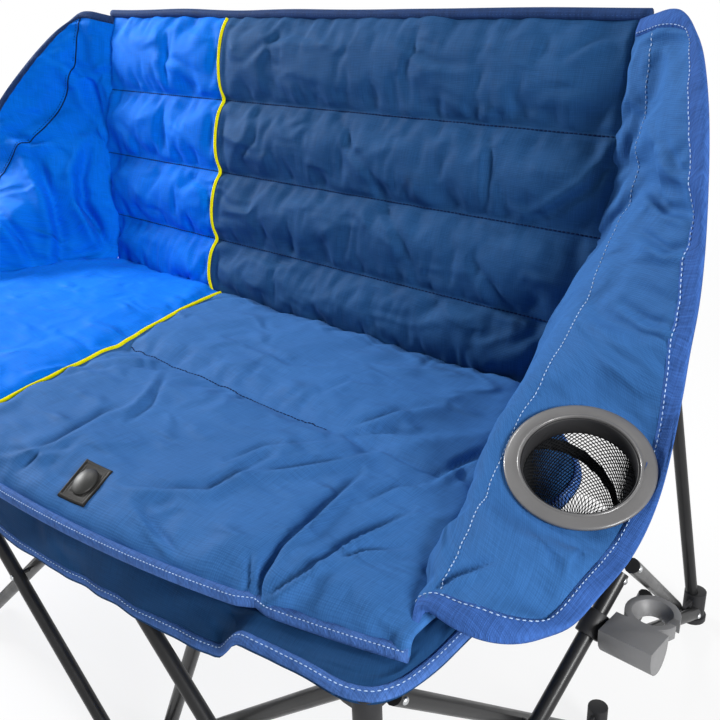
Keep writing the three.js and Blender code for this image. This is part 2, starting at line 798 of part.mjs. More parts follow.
function armSurface(sign, rows, columns) {
  const lines = [armInner, armRidge, armOuter].map((points) => new THREE.CatmullRomCurve3(points, false, 'centripetal'));
  const count = armRidge.length - 1;
  const grid = [];
  for (let r = 0; r <= rows; r += 1) {
    const t = r / rows;
    const [inner, ridge, outer] = lines.map((line) => line.getPoint(t));
    const lowMiddle = inner.clone().lerp(ridge, 0.5);
    const highMiddle = ridge.clone().lerp(outer, 0.5);
    highMiddle.z += armSag * Math.min(1, t * count);
    const across = new THREE.CatmullRomCurve3([inner, lowMiddle, ridge, highMiddle, outer], false, 'centripetal');
    grid.push(Array.from({ length: columns + 1 }, (_, c) => across.getPoint(c / columns)));
  }
  return grid.map((row) => row.map((p) => V(sign * p.x, p.y, p.z)));
}

function gridNormals(grid) {
  return grid.map((row, r) => row.map((p, c) => {
    const up = grid[Math.max(0, r - 1)][c];
    const down = grid[Math.min(grid.length - 1, r + 1)][c];
    const left = row[Math.max(0, c - 1)];
    const right = row[Math.min(row.length - 1, c + 1)];
    return down.clone().sub(up).cross(right.clone().sub(left)).normalize();
  }));
}

const cupLean = V(cupLeanX, cupLeanY, 1).normalize();

function cupAxis(sign) {
  return V(sign * cupLean.x, cupLean.y, cupLean.z);
}

for (const [side, sign] of [['right', 1], ['left', -1]]) {
  const middle = armSurface(sign, 24, 11);
  const normals = gridNormals(middle);
  const offset = (amount) => middle.map((row, r) => row.map((p, c) => p.clone().addScaledVector(normals[r][c], amount)));
  const arm = slab(offset(-armHalf), offset(armHalf));
  const centre = V(sign * cupX, cupY, cupZ);
  const axis = cupAxis(sign);
  const hole = rod(
    centre.clone().addScaledVector(axis, -45),
    centre.clone().addScaledVector(axis, 45),
    cupOuterRadius + cupHoleClearance,
    28,
  );
  place(`arm_${side}`, side === 'left' ? 'blue' : 'navy', arm.subtract(hole));

  const turn = new THREE.Quaternion().setFromUnitVectors(V(0, 1, 0), axis);
  const lathe = (profile, sides) => {
    const geometry = new THREE.LatheGeometry(profile.map(([x, y]) => new THREE.Vector2(x, y)), sides);
    geometry.applyQuaternion(turn);
    geometry.translate(centre.x, centre.y, centre.z);
    return solid(geometry);
  };
  const ring = lathe([
    [cupInnerRadius, -cupRingHalf],
    [cupOuterRadius - 2, -cupRingHalf],
    [cupOuterRadius, -cupRingHalf + 3],
    [cupOuterRadius, cupRingHalf - 4],
    [cupOuterRadius - 4, cupRingHalf],
    [cupInnerRadius + 3, cupRingHalf],
    [cupInnerRadius, cupRingHalf - 3],
    [cupInnerRadius, -cupRingHalf],
  ], 24);
  place(`cup_ring_${side}`, 'grey', ring);

  const basketTop = cupInnerRadius - 0.4;
  const basket = lathe([
    [0, -basketDepth],
    [basketBottomRadius, -basketDepth],
    [basketTop, -cupRingHalf],
    [basketTop, 0],
    [basketTop - basketWall, 0],
    [basketTop - basketWall, -cupRingHalf],
    [basketBottomRadius - basketWall, -basketDepth + basketWall],
    [0, -basketDepth + basketWall],
  ], 24);
  place(`cup_basket_${side}`, 'mesh', basket);
}

// Stem holder clamped to the right side's long tube.
const holderOut = layer + longTubeLeanGap;
const holderFrom = V(cornerX + holderOut, frontRowY + earReach, footPivotHeight);
const holderTo = V(apexX + holderOut, apexY - apexReach, apexZ);
const holderRun = holderTo.clone().sub(holderFrom).normalize();
const holderAt = holderFrom.clone().addScaledVector(holderRun, holderStation);
const collarHalf = holderRun.clone().multiplyScalar(holderCollarLength / 2);
const collarOuter = rod(holderAt.clone().sub(collarHalf), holderAt.clone().add(collarHalf), holderCollarRadius, 18);
const collarBore = rod(
  holderAt.clone().addScaledVector(holderRun, -holderCollarLength),
  holderAt.clone().addScaledVector(holderRun, holderCollarLength),
  tubeRadius + seatClearance,
  14,
);
place('holder_collar', 'black', collarOuter.subtract(collarBore));

const blockX = holderAt.x + holderCollarRadius + 3;
const blockTop = holderAt.z + 12;
const dShape = new THREE.Shape();
dShape.moveTo(-holderBlockWidth / 2, 0);
for (let i = 0; i <= 12; i += 1) {
  const turn = Math.PI + (Math.PI * i) / 12;
  const x = (holderBlockWidth / 2) * Math.cos(turn);
  dShape.lineTo(x, -8 + (holderBlockHeight - 8) * Math.sin(turn));
}
dShape.lineTo(holderBlockWidth / 2, 0);
dShape.closePath();
const blockGeometry = new THREE.ExtrudeGeometry(dShape, { depth: holderBlockLength, bevelEnabled: false });
const toRow = new THREE.Matrix4().makeBasis(V(0, 1, 0), V(0, 0, 1), V(1, 0, 0));
toRow.setPosition(blockX, holderAt.y, blockTop);
blockGeometry.applyMatrix4(toRow);
const ringAt = V(blockX + holderBlockLength / 2, holderAt.y + holderBlockWidth / 2 + holderRingRadius - 5, blockTop);
const ringProfile = [
  [holderHoleRadius, -holderRingHeight],
  [holderRingRadius, -holderRingHeight],
  [holderRingRadius, 0],
  [holderBevelRadius, 0],
  [holderHoleRadius, -holderRingHeight + 4],
  [holderHoleRadius, -holderRingHeight],
];
const ringGeometry = new THREE.LatheGeometry(ringProfile.map(([x, y]) => new THREE.Vector2(x, y)), 28);
ringGeometry.rotateX(Math.PI / 2);
ringGeometry.translate(ringAt.x, ringAt.y, ringAt.z);
const slot = box(
  ringAt.x,
  ringAt.x + holderRingRadius + 2,
  ringAt.y - holderSlot / 2,
  ringAt.y + holderSlot / 2,
  ringAt.z - holderRingHeight - 1,
  ringAt.z + 1,
);
const bevel = rod(ringAt.clone().add(V(0, 0, -holderRingHeight - 1)), ringAt.clone().add(V(0, 0, 1)), holderHoleRadius, 28);
const block = solid(blockGeometry).subtract(bevel);
const arms = solid(ringGeometry).subtract(slot);
const stub = rod(V(holderAt.x + holderCollarRadius + 0.5, holderAt.y, holderAt.z), V(blockX + 5, holderAt.y, holderAt.z), 7, 14);
place('stem_holder', 'grey', joined([block, arms, stub]));

// Piping along the colour boundary, lying just clear of the pads.
function bead(points) {
  const curve = new THREE.CatmullRomCurve3(points, false, 'centripetal');
  return sweep(curve, pipingRadius, 6, points.length - 1);
}

const backPipe = backRows.slice(1, -1).map((row) => {
  const u = mix(pipingBackLowX, pipingBackTopX, row.v) / backHalfWidth(row.v);
  return backFace(u, row.v, 1).addScaledVector(backOut, pipingRadius + pipingLift);
});
place('piping_back', 'yellow', bead(backPipe));

const seatPipe = seatRows.slice(1, -4).map((row) => {
  const x = mix(pipingSeatRearX, pipingSeatFrontX, row.v);
  const u = x / seatHalfWidth(seatProfile(row.v).y);
  return seatFace(u, row.v, 1).addScaledVector(seatOut(row.v), pipingRadius + pipingLift);
});
place('piping_seat', 'yellow', bead(seatPipe));

// Patch and snap on the seat's front edge.
const patchSpan = patchLength / (seatRearY - seatLipY);
const patchGrid = (lift) => [-1, -0.5, 0, 0.5, 1].map((j) => [-1, -0.5, 0, 0.5, 1].map((i) => {
  const v = patchCentre - (j * patchSpan * 0.9) / 2;
  const x = patchX + (i * patchWidth) / 2 - j * 8;
  const u = x / seatHalfWidth(seatProfile(v).y);
  return seatFace(u, v, 1).addScaledVector(seatOut(v), lift);
}));
place('patch', 'black', slab(patchGrid(patchLift), patchGrid(patchLift + patchThickness)));

const snapU = patchX / seatHalfWidth(seatProfile(patchCentre).y);
const snapOut = seatOut(patchCentre);
const snapAt = seatFace(snapU, patchCentre, 1).addScaledVector(snapOut, patchLift + patchThickness + snapLift);
const snapProfile = [
  [0, 0],
  [snapRadius, 0],
  [snapRadius, 1.5],
  [snapRadius * 0.7, snapHeight * 0.8],
  [0, snapHeight],
];
const snapGeometry = new THREE.LatheGeometry(snapProfile.map(([x, y]) => new THREE.Vector2(x, y)), 18);
snapGeometry.applyQuaternion(new THREE.Quaternion().setFromUnitVectors(V(0, 1, 0), snapOut));
snapGeometry.translate(snapAt.x, snapAt.y, snapAt.z);
place('snap', 'black', solid(snapGeometry));

// The origin lies on the floor under the middle of the chair's bounding box.
const bounds = new THREE.Box3().setFromObject(root);
const middleY = (bounds.min.y + bounds.max.y) / 2;
root.children.forEach((node) => node.geometry.translate(0, -middleY, 0));

export default root;
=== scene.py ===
import json
import math

import bmesh
import bpy
import numpy as np
from mathutils import Matrix, Vector, noise
from mathutils.bvhtree import BVHTree

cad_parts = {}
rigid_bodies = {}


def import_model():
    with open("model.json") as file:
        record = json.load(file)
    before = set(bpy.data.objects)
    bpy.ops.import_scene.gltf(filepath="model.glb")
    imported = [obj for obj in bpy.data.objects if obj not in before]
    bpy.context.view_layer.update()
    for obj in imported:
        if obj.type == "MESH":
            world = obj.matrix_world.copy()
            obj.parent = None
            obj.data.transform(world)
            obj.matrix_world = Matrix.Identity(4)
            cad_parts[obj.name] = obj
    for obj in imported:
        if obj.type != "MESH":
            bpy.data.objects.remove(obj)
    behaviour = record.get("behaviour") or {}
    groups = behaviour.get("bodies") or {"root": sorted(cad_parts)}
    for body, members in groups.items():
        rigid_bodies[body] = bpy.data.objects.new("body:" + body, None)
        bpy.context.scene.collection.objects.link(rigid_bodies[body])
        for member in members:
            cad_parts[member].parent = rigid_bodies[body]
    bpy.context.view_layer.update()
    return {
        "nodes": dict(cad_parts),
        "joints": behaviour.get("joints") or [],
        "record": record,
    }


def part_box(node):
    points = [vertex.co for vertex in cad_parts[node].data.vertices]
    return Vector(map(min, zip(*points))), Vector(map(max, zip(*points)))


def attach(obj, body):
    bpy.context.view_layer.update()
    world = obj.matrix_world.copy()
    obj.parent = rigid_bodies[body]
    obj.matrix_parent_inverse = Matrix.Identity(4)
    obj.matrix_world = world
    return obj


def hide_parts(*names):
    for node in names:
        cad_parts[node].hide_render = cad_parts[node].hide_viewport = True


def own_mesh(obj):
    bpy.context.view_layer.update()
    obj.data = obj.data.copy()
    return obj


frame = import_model()
NODES = frame["nodes"]
SCENE = bpy.context.scene

# Sizes in metres, in the row frame. DEPTH_SHIFT moves the drawing's depth line under the box's middle.
DEPTH_SHIFT = -0.0680737

# Back: lower and upper edges as (depth, height), half widths, and seams as shares of the height
BACK_LOW = (0.193, 0.404)
BACK_TOP = (0.290, 0.815)
BACK_HALF_LOW = 0.444
BACK_HALF_TOP = 0.504
BACK_BEHIND = 0.014
BACK_TUCK = -0.024
BACK_SEAMS = (BACK_TUCK, 0.19, 0.44, 0.70, 1.0)
BACK_PIPE = (-0.158, -0.181)
BACK_CELL = 0.0085
BACK_COLUMNS = (40, 82)  # to the left and right of the piping
BACK_THIN, BACK_THICK = 0.0036, 0.0165

# Seat: places along the depth, piping from rear to front, and (depth, half width) pairs
SEAT_Z = 0.390
SEAT_REAR = 0.214
SEAT_SEAM = -0.030
SEAT_LIP = -0.297
SEAT_FRONT = -0.318
SEAT_LOW = 0.370
SEAT_PIPE = (-0.146, -0.004)
SEAT_SEAM_AT, SEAT_LIP_AT = 0.42, 0.9  # shares of the way from the seat's rear to its front edge
SEAT_FLAT_SHARE, SEAT_LIP_SHARE, SEAT_FRONT_SHARE = 0.48, 0.1, 0.58  # seam to lip, lip to edge, seam to edge
SEAT_PIPE_RUN = 0.515
SEAT_COLUMNS = (54, 78)
SEAT_EDGE, SEAT_EDGE_BLUE, SEAT_THICK = 0.005, 0.011, 0.0135
SEAT_SIDE = ((0.220, 0.447), (0.093, 0.492), (-0.011, 0.540), (-0.075, 0.564), (-0.166, 0.590),
             (-0.245, 0.608), (-0.310, 0.610))

# Cup holders, trim and flap
CUP_CENTRE = (0.624, -0.005, 0.449)
CUP_AXIS = (0.24, -0.42, 1.0)
HOLE_RADIUS = 0.0632
RING_REACH = 0.071
RING_FLAT, RING_FADE = 0.070, 0.104
CUP_SEGMENTS = 96
NET_TOP, NET_FLOOR = -0.014, -0.1085
NET_RADIUS = (0.0504, 0.0412)
NET_AROUND, NET_DOWN, NET_FLOOR_RINGS = 60, 34, 8
PIPE_RADIUS = 0.0026
BINDING_RADIUS, SEAT_HEM_RADIUS, FLAP_HEM_RADIUS = 0.0068, 0.0072, 0.0058
TAPE_WIDTH, TAPE_WIDTH_LEFT = 0.017, 0.011
FLAP_ROWS = 16
FLAP_THICK = 0.0024

# The arms' lines from the back's top to the front corner, in millimetres. ARM_LEFT is added to the left arm's
# outer line. ARM_HOLLOW is how far the cloth sags inside the ridge, in metres. LEFT_SEAM is how far out the
# left arm's seam lies, as a share of the way from the ridge to the outer line.
ARM_INNER = ((492, 301, 806), (490, 276, 700), (488, 248, 580), (446, 220, 460), (436, 196, 404),
             (472, 100, 400), (520, 0, 400), (545, -75, 400), (569, -150, 398), (602, -224, 377))
ARM_RIDGE = ((518, 286, 813), (523, 266, 705), (524, 240, 614), (530, 178, 551), (535, 122, 519),
             (541, 69, 495), (549, -8, 467), (566, -75, 436), (586, -142, 419), (606, -203, 408))
ARM_OUTER = ((574, 258, 813), (621, 190, 738), (648, 150, 640), (662, 120, 580), (668, 98, 537),
             (676, 74, 500), (694, 7, 441), (700, -48, 413), (699, -110, 400), (702, -159, 392))
ARM_LEFT = ((0, 0, 0), (0, 0, 4), (12, -22, 22), (13, -16, 30), (12, -10, 23), (10, -8, 15), (2, 0, 3),
            (0, 0, 0), (0, 0, 0), (0, 0, 0))
ARM_HOLLOW = (0, 0, 0, 0.004, 0.008, 0.010, 0.010, 0.007, 0.003, 0.0)
LEFT_SEAM = (0.60, 0.40, 0.38, 0.45, 0.60, 0.62, 0.60, 0.55, 0.5, 0.5)
ARM_ROWS, ARM_IN, ARM_OUT = 112, 9, 20
ARM_THIN, ARM_THICK = 0.0025, 0.005

# The hubs carry the seat and back, which rise with them as the frame folds. The arms ride on the side hubs.
CLOTH_BODY = "mid_hub_right"
CLOTH_STEPS = 18
CLOTH = {"quality": 6, "mass": 0.25, "air_damping": 2.0, "tension_stiffness": 12.0,
         "compression_stiffness": 12.0, "shear_stiffness": 4.8, "bending_stiffness": 0.25,
         "use_pressure": True, "pin_stiffness": 4.0}

# The camera: place, turn and focal length in pixels of a 720 by 720 image.
YAW, PITCH, ROLL = math.radians(43.84), math.radians(23.19), math.radians(-2.25)
EYE = np.array((0.97185, -0.71407, 0.86355))
FOCAL = 901.0
IMAGE_HALF = 360.0
LEVEL = np.array((math.cos(YAW), math.sin(YAW), 0.0))
AHEAD = np.array((-math.sin(YAW) * math.cos(PITCH), math.cos(YAW) * math.cos(PITCH), -math.sin(PITCH)))
OVER = np.cross(LEVEL, AHEAD)
RIGHT = LEVEL * math.cos(ROLL) + OVER * math.sin(ROLL)
ABOVE = OVER * math.cos(ROLL) - LEVEL * math.sin(ROLL)


def mix(a, b, t):
    return a + (b - a) * t


def ease(value, low, high):
    t = np.clip((np.asarray(value, float) - low) / (high - low), 0.0, 1.0)
    return t * t * (3.0 - 2.0 * t)


def unit(vector):
    return vector / np.maximum(np.linalg.norm(vector, axis=-1, keepdims=True), 1e-12)


def image_place(points):
    """Where points fall in the camera's image, in pixels."""
    away = np.asarray(points, float) - EYE
    depth = away @ AHEAD
    across, down = FOCAL * (away @ RIGHT) / depth, FOCAL * (away @ ABOVE) / depth
    return np.stack((IMAGE_HALF + across, IMAGE_HALF - down), -1)


# Materials

def feed(tree, node, inputs):
    """Links the sockets among a node's inputs, and sets the constants."""
    for key, value in inputs.items():
        if isinstance(value, bpy.types.NodeSocket):
            tree.links.new(value, node.inputs[key])
        else:
            node.inputs[key].default_value = value
    return node


def add_node(tree, kind, inputs=None, **settings):
    node = tree.nodes.new("ShaderNode" + kind)
    for key, value in settings.items():
        setattr(node, key, value)
    return feed(tree, node, inputs or {})


def node_material(name, coordinates="Object"):
    """A new material, its node tree, its shader, and the place that its textures are drawn at."""
    material = bpy.data.materials.new(name)
    material.use_nodes = True
    tree = material.node_tree
    tree.nodes.clear()
    shader = add_node(tree, "BsdfPrincipled")
    add_node(tree, "OutputMaterial", {0: shader.outputs[0]})
    return material, tree, shader, add_node(tree, "TexCoord").outputs[coordinates]


def ramp(tree, source, *stops):
    node = add_node(tree, "ValToRGB", {"Fac": source})
    elements = node.color_ramp.elements
    for element, (place, colour) in zip(elements, (stops[0], stops[-1])):
        element.position, element.color = place, (*colour, 1.0)
    for place, colour in stops[1:-1]:
        elements.new(place).color = (*colour, 1.0)
    return node.outputs["Color"]


def noise_of(tree, place, scale, detail):
    return add_node(tree, "TexNoise", {"Vector": place, "Scale": scale, "Detail": detail}).outputs["Fac"]


def combine(tree, operation, a, b):
    return add_node(tree, "Math", {0: a, 1: b}, operation=operation).outputs[0]


def bump_of(tree, height, strength, distance):
    return add_node(tree, "Bump", {"Height": height, "Strength": strength, "Distance": distance})


def srgb(*levels):
    """Linear colour of sRGB levels from 0 to 255."""
    shares = [level / 255 for level in levels]
    return tuple(c / 12.92 if c <= 0.04045 else ((c + 0.055) / 1.055) ** 2.4 for c in shares)


def scaled(colour, k):
    return tuple(min(1.0, c * k) for c in colour)


def grey(level):
    return (level,) * 3


def cloth_material(name, colour, thread=0.0019, contrast=0.14, bump=0.4, coordinates="UV", creased=0.0):
    """Woven cloth: a crossed weave, threads of uneven thickness, broad fading and small creases."""
    material, tree, shader, place = node_material(name, coordinates)
    wave = {"Vector": place, "Scale": math.pi / 10.0 / thread, "Distortion": 0.6, "Detail": 1.0,
            "Detail Scale": 2.0}
    bands = [add_node(tree, "TexWave", wave, bands_direction=way).outputs["Fac"] for way in "XY"]
    weave = combine(tree, "MULTIPLY", *bands)
    drawn = [add_node(tree, "Mapping", {"Vector": place, "Scale": scale}).outputs[0]
             for scale in ((700.0, 30.0, 30.0), (40.0, 800.0, 40.0))]
    warp, weft = (noise_of(tree, line, 1.0, 2.0) for line in drawn)
    slub = combine(tree, "MULTIPLY", combine(tree, "ADD", warp, weft), 0.5)
    shade = ramp(tree, slub, (0.36, scaled(colour, 1.0 - contrast)), (0.5, colour),
                 (0.64, scaled(colour, 1.0 + contrast)))
    fading = ramp(tree, noise_of(tree, place, 9.0, 3.0), (0.3, (0.88, 0.89, 0.9)), (0.7, grey(1.0)))
    deep = ramp(tree, weave, (0.0, (0.87, 0.87, 0.88)), (0.4, grey(1.0)))
    for tint in (fading, deep):
        shade = add_node(tree, "Mix", {"Factor": 1.0, 6: shade, 7: tint}, data_type="RGBA",
                         blend_type="MULTIPLY").outputs[2]
    rough = add_node(tree, "MapRange", {"Value": slub, "To Min": 0.56, "To Max": 0.84})
    bumps = bump_of(tree, combine(tree, "ADD", weave, slub), bump, 0.0004)
    if creased:
        bent = add_node(tree, "Mapping", {"Vector": place, "Rotation": (0.0, 0.0, 0.6),
                                          "Scale": (1.0, 1.7, 1.0)})
        folds = add_node(tree, "TexNoise", {"Vector": bent.outputs[0], "Scale": 13.0, "Detail": 4.0,
                                            "Roughness": 0.55, "Distortion": 0.7},
                         noise_type="RIDGED_MULTIFRACTAL", normalize=True)
        feed(tree, bumps, {"Normal": bump_of(tree, folds.outputs["Fac"], creased, 0.016).outputs[0]})
    feed(tree, shader, {"Base Color": shade, "Roughness": rough.outputs[0], "Normal": bumps.outputs[0],
                        "Sheen Weight": 0.02, "Sheen Roughness": 0.4,
                        "Sheen Tint": (*mix(np.array(colour), np.ones(3), 0.35), 1.0),
                        "Specular IOR Level": 0.04})
    return material


def hard_material(name, colour, rough, metal=0.0, bump=0.12, wear=0.25, coat=0.0, glint=0.5):
    """Moulded or painted surface: fine grain, uneven gloss and lighter rubbed patches."""
    material, tree, shader, place = node_material(name)
    broad = noise_of(tree, place, 26.0, 5.0)
    tone = ramp(tree, broad, (0.3, scaled(colour, 1.0 - wear)), (0.55, colour),
                (0.75, scaled(colour, 1.0 + wear)))
    gloss = add_node(tree, "MapRange", {"Value": broad, "From Min": 0.3, "From Max": 0.7, "To Min": rough[0],
                                        "To Max": rough[1]})
    bumps = bump_of(tree, noise_of(tree, place, 900.0, 3.0), bump, 0.0003)
    feed(tree, shader, {"Base Color": tone, "Roughness": gloss.outputs[0], "Normal": bumps.outputs[0],
                        "Metallic": metal, "Coat Weight": coat, "Specular IOR Level": glint})
    return material


def leather_material(name, colour):
    """Grained leather: small cells and uneven gloss."""
    material, tree, shader, place = node_material(name)
    cells = add_node(tree, "TexVoronoi", {"Vector": place, "Scale": 620.0}, feature="DISTANCE_TO_EDGE")
    broad = noise_of(tree, place, 60.0, 4.0)
    tone = ramp(tree, broad, (0.3, scaled(colour, 0.7)), (0.7, scaled(colour, 1.5)))
    gloss = add_node(tree, "MapRange", {"Value": broad, "To Min": 0.5, "To Max": 0.7})
    bumps = bump_of(tree, cells.outputs["Distance"], 0.5, 0.0005)
    feed(tree, shader, {"Base Color": tone, "Roughness": gloss.outputs[0], "Normal": bumps.outputs[0],
                        "Specular IOR Level": 0.12})
    return material


def tape_material(name, colour):
    return cloth_material(name, colour, thread=0.0014, contrast=0.25, bump=0.7, coordinates="Object")


def thread_material(name, colour):
    return cloth_material(name, colour, thread=0.0006, contrast=0.15, coordinates="Object")


MAT_NAVY = cloth_material("navy_weave", srgb(56, 105, 165), creased=0.7)
# Painted shade: the back is the seat's navy cloth made darker, for the weaker light that falls on the upright
# back.
MAT_SHADED_NAVY_BACK = cloth_material("painted_shade_navy_back", srgb(37, 79, 126), creased=0.7)
# Painted shade: the flap is the same navy cloth made darker, for the shadow under the seat's overhanging
# edge.
MAT_SHADED_NAVY_FLAP = cloth_material("painted_shade_navy_flap", srgb(32, 70, 114), creased=0.7)
MAT_BLUE = cloth_material("blue_weave", srgb(1, 116, 231), creased=0.7)
MAT_BINDING = tape_material("binding_tape", srgb(38, 62, 106))
MAT_TAPE = tape_material("hem_tape", srgb(68, 104, 168))
MAT_TAPE_ARM = tape_material("arm_tape", srgb(58, 96, 164))
MAT_PIPING = cloth_material("piping_cord", srgb(255, 243, 12), thread=0.0012, contrast=0.12, bump=0.6,
                            coordinates="Object")
MAT_THREAD = thread_material("pale_thread", srgb(176, 202, 236))
MAT_DARK_THREAD = thread_material("dark_thread", srgb(14, 36, 76))
MAT_NET = cloth_material("net_yarn", srgb(26, 27, 29), thread=0.0008, contrast=0.3, coordinates="Object")
MAT_TUBE = hard_material("black_paint", srgb(31, 31, 32), (0.3, 0.42), coat=0.06, glint=0.25)
MAT_BLACK = hard_material("black_moulding", srgb(32, 32, 34), (0.4, 0.58), bump=0.3, glint=0.3)
MAT_GREY = hard_material("grey_moulding", srgb(114, 114, 115), (0.38, 0.55), bump=0.3, wear=0.16)
MAT_RING = hard_material("ring_moulding", srgb(98, 97, 97), (0.30, 0.40), bump=0.15, wear=0.12, coat=0.2)
MAT_STEEL = hard_material("rivet_steel", srgb(196, 198, 200), (0.22, 0.4), metal=1.0, bump=0.1, wear=0.2)
MAT_LEATHER = leather_material("patch_leather", srgb(27, 26, 25))
MAT_SNAP = hard_material("snap_metal", srgb(44, 44, 43), (0.42, 0.54), metal=0.1, bump=0.06, wear=0.12,
                         glint=0.25)


# Mesh helpers

def mesh_object(name, verts, faces, materials, uv=None, face_material=None, side=None):
    mesh = bpy.data.meshes.new(name)
    mesh.from_pydata([tuple(v) for v in verts], [], faces)
    mesh.update()
    for material in materials:
        mesh.materials.append(material)
    if face_material is not None:
        mesh.polygons.foreach_set("material_index", np.asarray(face_material, np.int32))
    if uv is not None:
        layer = mesh.uv_layers.new(name="cloth")
        corner = np.empty(len(mesh.loops), np.int32)
        mesh.loops.foreach_get("vertex_index", corner)
        layer.data.foreach_set("uv", np.asarray(uv, np.float32)[corner].ravel())
    if side is not None:
        mesh.attributes.new("side", "FLOAT", "POINT").data.foreach_set("value", np.asarray(side, np.float32))
    mesh.polygons.foreach_set("use_smooth", np.full(len(mesh.polygons), True))
    obj = bpy.data.objects.new(name, mesh)
    SCENE.collection.objects.link(obj)
    tidy = bmesh.new()
    tidy.from_mesh(mesh)
    bmesh.ops.recalc_face_normals(tidy, faces=tidy.faces)
    tidy.to_mesh(mesh)
    tidy.free()
    return obj


def coords(obj):
    flat = np.empty(len(obj.data.vertices) * 3)
    obj.data.vertices.foreach_get("co", flat)
    return flat.reshape(-1, 3)


def set_coords(obj, points):
    obj.data.vertices.foreach_set("co", np.asarray(points, np.float64).ravel())
    obj.data.update()


def bake(obj):
    """Applies the modifiers, so that the mesh is final."""
    deps = bpy.context.evaluated_depsgraph_get()
    made = bpy.data.meshes.new_from_object(obj.evaluated_get(deps), depsgraph=deps)
    old = obj.data
    obj.modifiers.clear()
    obj.data = made
    bpy.data.meshes.remove(old)
    made.name = obj.name
    return obj


def subdivide(obj):
    step = obj.modifiers.new("subdivide", "SUBSURF")
    step.levels = step.render_levels = 1
    return bake(obj)


def run_of(points, axis=0):
    """Distance along a path, or along an axis of a grid of points, at each point."""
    steps = np.diff(points, axis=axis, prepend=np.take(points, [0], axis))
    return np.cumsum(np.linalg.norm(steps, axis=-1), axis)


def closing_rim(rows, cols):
    """Indices round the edge of a grid."""
    rim = list(range(cols)) + [r * cols + cols - 1 for r in range(1, rows)]
    rim += [(rows - 1) * cols + c for c in range(cols - 2, -1, -1)]
    return rim + [r * cols for r in range(rows - 2, 0, -1)]


def shell_faces(rows, cols):
    """Faces of two grids of points, one behind the other, and of a rim that joins their edges."""
    count = rows * cols
    faces = []
    for r in range(rows - 1):
        for c in range(cols - 1):
            a = r * cols + c
            quad = (a, a + 1, a + cols + 1, a + cols)
            faces.append(quad)
            faces.append(tuple(i + count for i in reversed(quad)))
    rim = closing_rim(rows, cols)
    for a, b in zip(rim, rim[1:] + rim[:1]):
        faces.append((b, a, a + count, b + count))
    return faces


def tube_faces(count, sides):
    """Faces of a tube of count rings of points, with both ends closed."""
    faces = []
    for k in range(count - 1):
        for s in range(sides):
            t = (s + 1) % sides
            faces.append((k * sides + s, k * sides + t, (k + 1) * sides + t, (k + 1) * sides + s))
    faces.append(tuple(range(sides))[::-1])
    faces.append(tuple((count - 1) * sides + s for s in range(sides)))
    return faces


def slab(name, middle, normal, depth, plane_uv, materials, split=0, rear=0.6):
    """A closed pad either side of a middle surface. Columns before split take the second material."""
    rows, cols = middle.shape[:2]
    front = middle + normal * depth[..., None]
    behind = middle - normal * depth[..., None] * rear
    verts = np.concatenate((front.reshape(-1, 3), behind.reshape(-1, 3)))
    slots = [int(c < split) for _ in range(rows - 1) for c in range(cols - 1) for _ in range(2)]
    slots += [int(a % cols < split) for a in closing_rim(rows, cols)]
    uv = np.tile(plane_uv.reshape(-1, 2), (2, 1))
    side = np.repeat((1.0, -1.0), rows * cols)
    return mesh_object(name, verts, shell_faces(rows, cols), materials, uv, slots, side)


def puff(obj, pinned, pressure, shrink, cap):
    """Cloth simulation of a pad: pressure fills it between its pinned seams, and spare cloth wrinkles."""
    start = coords(obj)
    group = obj.vertex_groups.new(name="sewn")
    for index, weight in enumerate(pinned):
        if weight > 0.0:
            group.add([index], float(weight), "REPLACE")
    cloth = obj.modifiers.new("cloth", "CLOTH")
    settings = cloth.settings
    for key, value in CLOTH.items():
        setattr(settings, key, value)
    settings.uniform_pressure_force = pressure
    settings.shrink_min = shrink
    settings.effector_weights.gravity = 0.0
    settings.vertex_group_mass = "sewn"
    cloth.collision_settings.use_collision = False
    cloth.point_cache.frame_start = 1
    cloth.point_cache.frame_end = CLOTH_STEPS
    for step in range(1, CLOTH_STEPS + 1):
        SCENE.frame_set(step)
    deps = bpy.context.evaluated_depsgraph_get()
    shown = obj.evaluated_get(deps).data
    moved = np.empty(len(shown.vertices) * 3)
    shown.vertices.foreach_get("co", moved)
    obj.modifiers.remove(cloth)
    SCENE.frame_set(1)
    shift = np.nan_to_num(moved.reshape(-1, 3) - start)
    length = np.linalg.norm(shift, axis=1, keepdims=True)
    shift *= np.minimum(1.0, cap / np.maximum(length, 1e-9))
    set_coords(obj, start + shift)
    obj.vertex_groups.clear()


def wobble(x, y, seed, scale=1.0):
    return noise.noise(Vector((x * scale + seed * 7.31, y * scale - seed * 3.17, seed * 1.73)))


def crumpled(x, y, seed, scale, lean, stretch):
    """Sharp creases across rounder swells, drawn out along the direction lean, in degrees."""
    a = math.radians(lean)
    p, q = x * math.cos(a) + y * math.sin(a), (y * math.cos(a) - x * math.sin(a)) * stretch
    p += 0.02 * wobble(x, y, seed + 40, scale * 0.5)
    return 0.5 - abs(wobble(p, q, seed, scale)) * 2.2


def crease_field(points, creases):
    """Lift of each point from a list of creases: (line in the image, depth, width in pixels)."""
    at = image_place(points)
    total = np.zeros(len(points))
    for line, depth, width in creases:
        line = np.asarray(line, float)
        run = run_of(line)
        best = np.full(len(points), 1e9)
        signed = np.zeros(len(points))
        share = np.zeros(len(points))
        for k in range(len(line) - 1):
            d = line[k + 1] - line[k]
            t = np.clip(((at - line[k]) @ d) / (d @ d), 0.0, 1.0)
            off = at - line[k] - t[:, None] * d
            dist = np.linalg.norm(off, axis=1)
            near = dist < best
            best = np.where(near, dist, best)
            signed = np.where(near, np.sign(d[0] * off[:, 1] - d[1] * off[:, 0]) * dist, signed)
            share = np.where(near, mix(run[k], run[k + 1], t) / run[-1], share)
        fade = np.sin(np.pi * np.clip(share * 0.94 + 0.03, 0, 1)) ** 0.6
        e = signed / width
        total += depth * fade * (-np.exp(-e * e) + 0.8 * np.exp(-((e - 1.7) / 1.25) ** 2))
    return total


